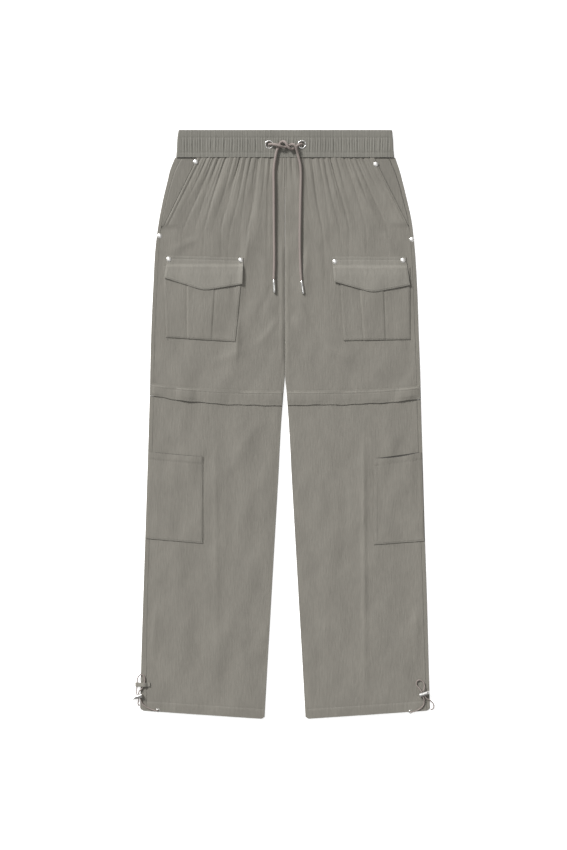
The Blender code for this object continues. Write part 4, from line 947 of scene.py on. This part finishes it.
def make_knee(side):
    """The cover over the zip, front and back, and the zip's teeth on its tape."""
    seam = (lambda d: knee(side, "seam", d) - SEAM_GAP, KNEE_Y)
    back_panel("knee_flap_back", side, seam, (lambda d: knee(side, "edge", d), KNEE_Y), 4)
    share, offset = marks([0, 0.6, 1.6, 3, 5], [0, 0.6, 1.6, 3, 5, 7], 120)
    inner, outer = leg("inner", side, KNEE_Y) + 0.4, fold_edge(side, KNEE_Y) - 0.2
    level = inner + (outer - inner) * share + offset
    high, low = knee(side, "seam", level) + 2.0, knee(side, "edge", level)
    down, shift = marks([0, 0.7, 1.4, 2.0, 2.7, 3.5, 4.3, 5.2, 6.0, 6.6, 7.4, 8.6], [0, 0.4, 1.2, 2.4], 7)
    y = high + (low - high) * down[:, None] - shift[:, None]
    wavy = 0.5 * np.sin(level / 13) + 0.35 * np.sin(level / 5.2 + 1)
    y = y - wavy * step(down, 0.5, 1)[:, None]
    distance = leg("inner", side, y) + 0.4
    distance = distance + (fold_edge(side, y) - 0.2 - distance) * share + offset
    cloth("knee_flap_front", side, distance, y, cover_z(side, distance, y))
    ends = leg("inner", side, KNEE_Y) + 9, side_seam(side, KNEE_Y) - 9
    at = np.linspace(*ends, 160)
    line = np.stack([SIDES[side] * at, knee(side, "seam", at) - ZIP_INSET - SEAM_GAP - ZIP_HEIGHT / 2,
                     np.full(at.shape, FRONT_MID + ZIP_LIFT + CLOTH / 2)], -1)
    dashes(f"zip_teeth_{side}", [line], 1.6, 3.0, 0.9, 0.25, "tape", turn=90)


def patch_grid(corners, across, down):
    """Distances and heights of a four-sided patch's grid from its columns and rows."""
    c = dict(zip(PATCH_COLUMNS, corners))
    s, drop = down[0][:, None], down[1][:, None]
    t = across[0] + across[1] / (c["outer_top"] - c["inner_top"])
    top = c["top_inner_y"] + (c["top_outer_y"] - c["top_inner_y"]) * t
    bottom = c["bottom_inner_y"] + (c["bottom_outer_y"] - c["bottom_inner_y"]) * t
    y = top + (bottom - top) * s - drop
    s = (top - y) / (top - bottom)
    inner = c["inner_top"] + (c["inner_bottom"] - c["inner_top"]) * s
    outer = c["outer_top"] + (c["outer_bottom"] - c["outer_top"]) * s
    return inner + (outer - inner) * t, y


def make_thigh(side):
    """The patch pocket with its box pleat, and the pointed flap over its mouth."""
    edge = [0, 0.4, 1.2, 2.2, 3.2, 4.4, 5.6, 6.8, 8.2]
    distance, y = patch_grid(THIGH_POCKETS[side], marks(edge, edge, 92), marks([0, 1], edge, 58))
    cloth("thigh_pocket", side, distance, y, thigh_z(side, distance, y))
    c = dict(zip(PATCH_COLUMNS, THIGH_FLAPS[side]))
    share, offset = marks(edge, edge, 80)
    t = share + offset / (c["outer_top"] - c["inner_top"])
    bottom_line = c["inner_bottom"] + (c["outer_bottom"] - c["inner_bottom"]) * t
    top = c["top_inner_y"] + (c["top_outer_y"] - c["top_inner_y"]) * t
    low = flap_bottom(side, bottom_line)
    down, drop = marks([0, 0.5, 1.4, 3, 4.4, 5.3, 6.2, 7.4], edge, 20)
    y = top + (low - top) * down[:, None] - drop[:, None]
    s = (top - y) / (top - low)
    inner = c["inner_top"] + (c["inner_bottom"] - c["inner_top"]) * s
    distance = inner + (c["outer_top"] + (c["outer_bottom"] - c["outer_top"]) * s - inner) * t
    cloth("thigh_flap", side, distance, y, flap_z(side, distance, y), "flap")


def make_shin_pocket(side):
    """The patch pocket on the outer lower leg, up to the outer fold."""
    edge = [0, 0.4, 1.2, 2.2, 3.2, 4.4, 5.6, 6.8, 8.2]
    distance, y = patch_grid(SHIN_POCKETS[side], marks(edge, [0, 0.6, 1.6, 3, 5], 46),
                             marks([0, 0.5, 1.5, 4, 8, 11, 12.5, 14, 16], edge, 58))
    t, s, _ = patch_place(SHIN_POCKETS[side], distance, y)
    y = y - SHIN_SAG[side] * np.sin(math.pi * np.clip(t, 0, 1)) * (1 - step(s, 0, 0.25))
    distance = np.minimum(distance, fold_edge(side, y) - 0.1)
    cloth("shin_pocket", side, distance, y, shin_z(side, distance, y))


def make_mouth(side):
    """Painted shade for the inside of the gaping shin pocket: a narrow dark strip laid on the leg, from the
    mouth line down.
    """
    c = dict(zip(PATCH_COLUMNS, SHIN_POCKETS[side]))
    t = np.linspace(0.04, 0.99, 60)
    at = c["inner_top"] + (np.minimum(c["outer_top"], fold_edge(side, -50.0) - 0.6) - c["inner_top"]) * t
    top = c["top_inner_y"] + (c["top_outer_y"] - c["top_inner_y"]) * t
    gape = SHIN_SAG[side] * np.sin(math.pi * t)
    y = top - np.array([0.0, 0.5, 1.0, 1.5])[:, None] * gape
    distance = at + 0 * y
    points = np.stack([SIDES[side] * distance, y, front_z(side, distance, y) + SHELL / 2 + 0.12], -1)
    if side == "left":
        points = points[:, ::-1]
    add(f"shade_mouth_{side}", points.reshape(-1, 3), grid_faces(*distance.shape)[:, ::-1], "shade")


def band_wave(x, y):
    """Height of the band's shirring: uneven upright ridges, flat round the eyelets, sunk along the sewing."""
    heights = column(BAND_SECTIONS, BAND_COLUMNS, "y")
    strength = smooth(y, heights, column(BAND_SECTIONS, BAND_COLUMNS, "ridge"))
    bend = 0.5 * np.sin(x / 11) + 0.9 * np.sin(x / 29 + 1) + 0.25 * np.sin(y / 7 + x / 23)
    wave = 0.0
    for pitch, phase, share in RIDGES:
        wave = wave + share * np.sin(2 * math.pi * x / pitch + phase + bend)
    away = np.min([np.hypot(x - ex, y - ey) for ex, ey in EYELETS.values()], 0)
    wave = wave * RIDGE_HEIGHT * strength * step(away, EYELET_FLANGE + 0.5, EYELET_FLAT + 3)
    for at_y in BAND_STITCHES:
        wave = wave - 0.45 * bell(y - at_y, 1.0)
    return wave - 0.5 * bell(y - WAIST_TOP, 1.2)


def make_waistband():
    """The band: a flattened ring with shirring, and holes for the eyelets."""
    middle, radius = BAND_TOP_Z / 2, (BAND_TOP_Z - BAND_SHELL) / 2
    ys = np.concatenate([[WAIST_SEAM, 472.2], np.linspace(473.4, 518.2, 36), [519.2, WAIST_TOP]])[::-1]
    heights = column(BAND_SECTIONS, BAND_COLUMNS, "y")
    low = np.interp(ys, heights, column(BAND_SECTIONS, BAND_COLUMNS, "left"))
    high = np.interp(ys, heights, column(BAND_SECTIONS, BAND_COLUMNS, "right"))
    start, end = (-low + middle)[:, None], (high - middle)[:, None]
    turn = np.radians(np.linspace(-90, 90, 10))[1:-1]
    y = ys[:, None]
    front = end + (start - end) * np.linspace(0, 1, 440)
    back = start + (end - start) * np.linspace(0, 1, 200)
    near_fold = step(front - start, 0, 6) * step(end - front, 0, 6)
    under = 0.3 * np.clip(band_wave(-back, y), 0, 1) * step(back - start, 0, 6) * step(end - back, 0, 6)
    x = np.concatenate([back, end + radius * np.cos(turn), front, start - radius * np.cos(turn)], 1)
    z = np.concatenate([middle - radius + under, middle + radius * np.sin(turn) + 0 * y,
                        middle + radius + band_wave(front, y) * near_fold,
                        middle + radius * np.sin(turn[::-1]) + 0 * y], 1)
    points = np.stack([x, y + 0 * x, z], -1)
    rows, columns = x.shape
    points, faces = points.reshape(-1, 3), grid_faces(rows, columns, ring=True)
    centres = points[faces].mean(1)
    inside = np.zeros(len(faces), bool)
    for ex, ey in EYELETS.values():
        hole = (np.hypot(centres[:, 0] - ex, centres[:, 1] - ey) < EYELET_CUT) & (centres[:, 2] > middle)
        rim = np.intersect1d(faces[hole], faces[~hole])
        away = points[rim, :2] - (ex, ey)
        points[rim, :2] = (ex, ey) + away * (EYELET_CUT / np.linalg.norm(away, axis=1))[:, None]
        inside |= hole
    faces = faces[~inside]
    used, faces = np.unique(faces, return_inverse=True)
    faces = faces.reshape(-1, 4)[:, ::-1]
    points = points[used]
    piece = add("cloth_waistband", points, faces, "band", ["waistband"])
    thick = piece.modifiers.new("wall", "SOLIDIFY")
    thick.thickness = BAND_SHELL * MM
    thick.offset = 0.0


def lathe(name, profile, sides, kind, at, axis=(0, 0, 1), replaces=(), loop=False):
    """A turned piece: a profile (radius, height) spun round an axis through a point."""
    profile = np.array(profile, float)
    axis = np.array(axis, float) / np.linalg.norm(axis)
    aside = np.cross(axis, (0.0, 1.0, 0.0) if abs(axis[1]) < 0.9 else (1.0, 0.0, 0.0))
    aside /= np.linalg.norm(aside)
    up = np.cross(axis, aside)
    angle = 2 * math.pi * np.arange(sides) / sides
    ring = np.cos(angle)[:, None] * aside + np.sin(angle)[:, None] * up
    points = np.array(at) + profile[:, None, 1:] * axis + profile[:, None, :1] * ring
    rows = len(profile)
    faces = grid_faces(rows, sides, ring=True)
    if loop:
        last = grid_faces(2, sides, ring=True)
        last = np.where(last < sides, last + (rows - 1) * sides, last - sides)
        faces = np.concatenate([faces, last])
    return add(name, points.reshape(-1, 3), faces, kind, replaces, closed=True)


def make_metal():
    """Eyelets, hem eyelets and rivets, each turned from its own profile."""
    t = np.linspace(0, math.pi, 13)
    flange = BAND_TOP_Z + 0.02
    low = BAND_WALL + SEAM_GAP + 0.3
    middle, half = (EYELET_HOLE + EYELET_FLANGE) / 2, (EYELET_FLANGE - EYELET_HOLE) / 2
    rolled = [(middle - half * math.cos(a), flange + 1.15 * math.sin(a)) for a in t]
    barrel = [(EYELET_BARREL, flange), (EYELET_BARREL, low), (EYELET_HOLE, low)]
    for side, (x, y) in EYELETS.items():
        lathe(f"ring_eyelet_{side}", rolled + barrel, 72, "metal", (x, y, 0),
              replaces=[f"eyelet_{side}"], loop=True)
    middle = (HEM_EYELET_HOLE + HEM_EYELET_RADIUS) / 2
    half = HEM_EYELET_RADIUS - middle
    small = [(middle - half * math.cos(a), 0.9 * math.sin(a)) for a in t]
    for side, (x, y) in HEM_EYELETS.items():
        lathe(f"ring_hem_eyelet_{side}", small, 48, "metal", (x, y, seat(side, abs(x), y, HEM_EYELET_RADIUS)),
              replaces=[f"hem_eyelet_{side}"], loop=True)
    t = np.linspace(0, math.pi / 2, 12)
    dome = [(0.86 * RIVET_RADIUS * math.sin(a), 0.45 + (RIVET_HEIGHT - 0.45) * math.cos(a)) for a in t]
    dome += [(0.93 * RIVET_RADIUS, 0.36), (0.98 * RIVET_RADIUS, 0.2), (RIVET_RADIUS, 0.0), (0.0, 0.0)]
    for name, x, y in RIVETS:
        side = name.rsplit("_", 1)[1]
        level = seat(side, abs(x), y, RIVET_RADIUS, name.startswith("flap"))
        lathe(f"dome_{name}", dome, 48, "rivet", (x, y, level), replaces=[name])


def seat(side, distance, y, radius, on_flap=False):
    """Height of the highest cloth under a round piece."""
    turn = np.radians(np.arange(0, 360, 20))
    reach = np.concatenate([0 * turn, 0.5 * radius + 0 * turn, radius + 0 * turn])
    turn = np.tile(turn, 3)
    at, level = distance + reach * np.cos(turn), y + reach * np.sin(turn)
    height = flap_z if on_flap else front_z
    return float(height(side, at, level).max()) + SHELL / 2 - 0.15


def cord(name, route, width, spacing, sides, replaces):
    """A plaited cord: a tube round a smooth curve whose radius follows two crossing sets of spirals.

    Returns the piece and its centreline in metres.
    """
    route = np.array(route, float)
    run = np.concatenate([[0], np.cumsum(np.linalg.norm(np.diff(route, axis=0), axis=1))])
    fine = np.linspace(0, run[-1], 60 * len(route))
    dense = np.stack([smooth(fine, run, route[:, k]) for k in range(3)], -1)
    length = np.concatenate([[0], np.cumsum(np.linalg.norm(np.diff(dense, axis=0), axis=1))])
    along = np.linspace(0, length[-1], int(round(length[-1] / spacing)) + 1)
    line = np.stack([np.interp(along, length, dense[:, k]) for k in range(3)], -1)
    ahead = np.gradient(line, axis=0)
    ahead /= np.linalg.norm(ahead, axis=1)[:, None]
    aside = np.zeros_like(line)
    aside[0] = np.cross(ahead[0], (0.0, 1.0, 0.0))
    for k in range(1, len(line)):
        aside[k] = aside[k - 1] - ahead[k] * (aside[k - 1] @ ahead[k])
        aside[k] /= np.linalg.norm(aside[k])
    aside[0] /= np.linalg.norm(aside[0])
    up = np.cross(ahead, aside)
    angle = 2 * math.pi * np.arange(sides) / sides
    twist = 2 * math.pi * along[:, None] / (0.95 * width)
    strands = sides // 4
    plait = np.maximum(np.sin(strands * angle + twist), np.sin(strands * angle - twist))
    radius = width / 2 * (0.93 + 0.09 * plait)
    radius[[0, -1]] *= 0.8
    spokes = np.cos(angle)[:, None] * aside[:, None] + np.sin(angle)[:, None] * up[:, None]
    ring = radius[..., None] * spokes
    points = np.concatenate([(line[:, None] + ring).reshape(-1, 3), line[:1], line[-1:]])
    rows = len(line)
    last = (rows - 1) * sides
    following = (np.arange(sides) + 1) % sides
    faces = grid_faces(rows, sides, ring=True).tolist()
    faces += [[k, int(following[k]), rows * sides] for k in range(sides)]
    faces += [[last + int(following[k]), last + k, rows * sides + 1] for k in range(sides)]
    piece = add(name, points, faces, "cord", replaces, closed=True)
    return piece, (line * MM).tolist(), float(length[-1]) * MM


def make_cords():
    """The drawstring's free ends with their aglets, and the hem cords."""
    half = AGLET_LENGTH / 2
    tube = [(0, half), (1.4, half), (1.9, half - 0.4), (2.25, half - 1.3), (2.45, half - 3),
            (AGLET_RADIUS, 0), (AGLET_RADIUS, 1.4 - half), (2.3, 1.0 - half), (2.42, 0.5 - half), (2.2, -half), (0, -half)]
    for side, route in STRING_ROUTES.items():
        (x0, y0), (x1, y1) = AGLETS[side]
        heading = np.array([x1 - x0, y1 - y0, 0.0]) / math.hypot(x1 - x0, y1 - y0)
        middle = np.array([x0, y0, AGLET_Z]) + half * heading
        aglet = lathe(f"tip_aglet_{side}", tube, 40, "metal", middle, heading, [f"aglet_{side}"])
        piece, line, length = cord(f"braid_drawstring_{side}", route, STRING_WIDTH, 0.8, 28,
                                   [f"drawstring_{side}"])
    for side, route in HEM_ROUTES.items():
        piece, line, length = cord(f"braid_hem_cord_{side}", route, HEM_CORD_WIDTH, 0.5, 20,
                                   [f"hem_cord_{side}"])


def make_tab():
    """The cloth loop at the left hem, over both strands and round the outer one."""
    path = np.array(TAB_PATH)
    run = np.concatenate([[0], np.cumsum(np.linalg.norm(np.diff(path, axis=0), axis=1))])
    fine = np.linspace(0, run[-1], 70)
    distance, z = (smooth(fine, run, path[:, k]) for k in range(2))
    y = np.linspace(TAB_SPAN[1], TAB_SPAN[0], 12)[:, None] + 0 * distance
    cloth("hem_tab", "left", distance + 0 * y, y, z + 0 * y, "flap",
          0.8)


def dashes(name, paths, pitch, length, width, height, kind, turn=0.0):
    """Stitches along paths, in one mesh: each a low ridge pointed at both ends."""
    places, headings = [], []
    for path in paths:
        run = np.concatenate([[0], np.cumsum(np.linalg.norm(np.diff(path, axis=0), axis=1))])
        count = max(1, int(run[-1] // pitch))
        at = (np.arange(count) + 0.5) * run[-1] / count
        read = lambda where: np.stack([np.interp(where, run, path[:, k]) for k in range(3)], -1)
        ahead = read(at + 0.4 * pitch) - read(at - 0.4 * pitch)
        places.append(read(at))
        headings.append(ahead / np.linalg.norm(ahead, axis=1)[:, None])
    place, ahead = np.concatenate(places), np.concatenate(headings)
    c, s = math.cos(math.radians(turn)), math.sin(math.radians(turn))
    ahead = np.stack([ahead[:, 0] * c - ahead[:, 1] * s, ahead[:, 0] * s + ahead[:, 1] * c, ahead[:, 2]], -1)
    aside = np.cross(ahead, (0.0, 0.0, 1.0))
    aside /= np.linalg.norm(aside, axis=1)[:, None]
    up = np.cross(aside, ahead)
    form = np.array([(-0.5, 0, -0.3), (-0.32, -0.5, -0.2), (-0.32, 0, 1), (-0.32, 0.5, -0.2),
                     (0.32, -0.5, -0.2), (0.32, 0, 1), (0.32, 0.5, -0.2), (0.5, 0, -0.3)])
    form = form * (length, width, height)
    points = (place[:, None] + form[:, 0, None] * ahead[:, None] + form[:, 1, None] * aside[:, None]
              + form[:, 2, None] * up[:, None])
    shape = [(0, 1, 2), (0, 2, 3), (0, 3, 1), (1, 4, 5, 2), (2, 5, 6, 3), (3, 6, 4, 1),
             (7, 5, 4), (7, 6, 5), (7, 4, 6)]
    faces = [[k + 8 * n for k in face] for n in range(len(place)) for face in shape]
    return add(name, points.reshape(-1, 3), faces, kind, closed=True)


def on(side, height, distance, y, lift=SHELL / 2):
    """A path on the top of a shell, from distances and heights y."""
    distance, y = np.broadcast_arrays(np.asarray(distance, float), np.asarray(y, float))
    return np.stack([SIDES[side] * distance, y, height(side, distance, y) + lift], -1)


def make_sewing(side):
    """Every visible row of stitches on one side."""
    shares = np.linspace(0, 1, 90)
    paths = []
    corner = row_of(SLANTS, SLANT_COLUMNS, side)["bottom_y"]
    y = LEG_TOP - 2 + (corner + 8 - LEG_TOP + 2) * shares
    for inset in (2.2, 7.6):
        paths.append(on(side, front_z, slant(side, y) - inset, y))
    pocket = dict(zip(PATCH_COLUMNS, THIGH_POCKETS[side]))
    shin = dict(zip(PATCH_COLUMNS, SHIN_POCKETS[side]))
    flap = dict(zip(PATCH_COLUMNS, THIGH_FLAPS[side]))
    for inset in (2.2, 5.6):
        for c, height, outer in ((pocket, thigh_z, True), (shin, shin_z, False)):
            inner_low, outer_low = c["inner_bottom"] + inset, c["outer_bottom"] - (inset if outer else 1)
            base = (c["bottom_inner_y"] + c["bottom_outer_y"]) / 2 + inset
            top = (c["top_inner_y"] + c["top_outer_y"]) / 2 - 2
            down = top + (c["bottom_inner_y"] + inset - top) * shares
            sides = [(c["inner_top"], c["inner_bottom"], inset)]
            if outer:
                sides.append((c["outer_top"], c["outer_bottom"], -inset))
            for high, low, shift in sides:
                at = high + (low - high) * (top - down) / (top - base) + shift
                paths.append(on(side, height, at, down))
            at = inner_low + (outer_low - inner_low) * shares
            t = (at - c["inner_bottom"]) / (c["outer_bottom"] - c["inner_bottom"])
            level = c["bottom_inner_y"] + (c["bottom_outer_y"] - c["bottom_inner_y"]) * t + inset
            paths.append(on(side, height, at, level))
        at = flap["inner_bottom"] + inset + (flap["outer_bottom"] - flap["inner_bottom"] - 2 * inset) * shares
        paths.append(on(side, flap_z, at, flap_bottom(side, at) + inset))
    at = flap["inner_top"] + 2 + (flap["outer_top"] - flap["inner_top"] - 4) * shares
    t = (at - flap["inner_top"]) / (flap["outer_top"] - flap["inner_top"])
    top = flap["top_inner_y"] + (flap["top_outer_y"] - flap["top_inner_y"]) * t
    paths.append(on(side, flap_z, at, top - 5.3))
    at = shin["inner_top"] + 2 + (fold_edge(side, -60.0) - shin["inner_top"] - 3) * shares
    t = (at - shin["inner_top"]) / (shin["outer_top"] - shin["inner_top"])
    top = shin["top_inner_y"] + (shin["top_outer_y"] - shin["top_inner_y"]) * t
    paths.append(on(side, shin_z, at, top - 12.5))
    at = leg("inner", side, KNEE_Y) + 3 + (fold_edge(side, KNEE_Y) - leg("inner", side, KNEE_Y) - 6) * shares
    paths.append(on(side, cover_z, at, knee(side, "seam", at) - 4.6))
    start = leg("inner", side, HEM_LEVEL) + 3
    at = start + (side_seam(side, HEM_LEVEL) - start - 1) * shares
    hemmed = lambda s, d, y: front_z(s, d, y) + down_hem(s, d, y)
    paths.append(on(side, hemmed, at, hem(side, at) + 17))
    dashes(f"stitches_{side}", paths, 3.3, 2.5, 0.5, 0.22, "thread")


def make_band_sewing():
    """The band's two rows of stitches, below and above the eyelets."""
    paths = []
    x = np.linspace(-186, 186, 700)
    for y in BAND_STITCHES:
        paths.append(np.stack([x, np.full(x.shape, y), BAND_TOP_Z + band_wave(x, y)], -1))
    dashes("stitches_waistband", paths, 3.3, 2.5, 0.5, 0.25, "thread")


def make_stage():
    """The white surface under the garment, the camera straight above it, and soft light."""
    scene = bpy.context.scene
    scene.view_settings.view_transform = "Standard"
    floor = add("floor", [(-4000, -4000, -0.4), (4000, -4000, -0.4), (4000, 4000, -0.4), (-4000, 4000, -0.4)],
                [(0, 1, 2, 3)], "floor", ride=False)
    floor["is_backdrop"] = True
    lens = bpy.data.cameras.new("camera")
    lens.lens = LENS
    lens.sensor_width = SENSOR
    lens.clip_end = 20
    camera = bpy.data.objects.new("camera", lens)
    camera.location = [v * MM for v in CAMERA_AT]
    scene.collection.objects.link(camera)
    scene.camera = camera
    for name, heading, strength, angle in (("key", (-54, 0, 42), 4.0, 16), ("fill", (50, 0, 20), 0.15, 40)):
        light = bpy.data.lights.new(name, "SUN")
        light.energy = strength
        light.angle = math.radians(angle)
        lamp = bpy.data.objects.new(name, light)
        lamp.rotation_euler = [math.radians(v) for v in heading]
        scene.collection.objects.link(lamp)
    panel = bpy.data.lights.new("panel", "AREA")
    panel.shape = "DISK"
    panel.size = 1.3
    panel.energy = 20.0
    overhead = bpy.data.objects.new("panel", panel)
    overhead.location = (0.0, 0.2, 4.5)
    scene.collection.objects.link(overhead)
    world = bpy.data.worlds.new("soft")
    world.use_nodes = True
    background = world.node_tree.nodes["Background"]
    socket(background, "Color", (1.0, 1.0, 1.0, 1.0))
    socket(background, "Strength", 0.30)
    scene.world = world


def corners():
    """The shown object's box as plain numbers."""
    return [[float(v) for v in corner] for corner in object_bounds()]


for old in list(bpy.data.objects):
    bpy.data.objects.remove(old)
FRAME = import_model()
make_stage()
make_cords()
make_waistband()
for leg_side in SIDES:
    make_uppers(leg_side)
    make_lowers(leg_side)
    make_knee(leg_side)
    make_thigh(leg_side)
    make_shin_pocket(leg_side)
    make_mouth(leg_side)
    make_sewing(leg_side)
    for metal_node in ("cord_lock", "lock_plunger", "knee_slider"):
        FRAME["nodes"][f"{metal_node}_{leg_side}"].data.materials[0] = material("lock")
    FRAME["nodes"][f"knee_zip_{leg_side}"].data.materials[0] = material("tape")
make_band_sewing()
make_metal()
make_tab()
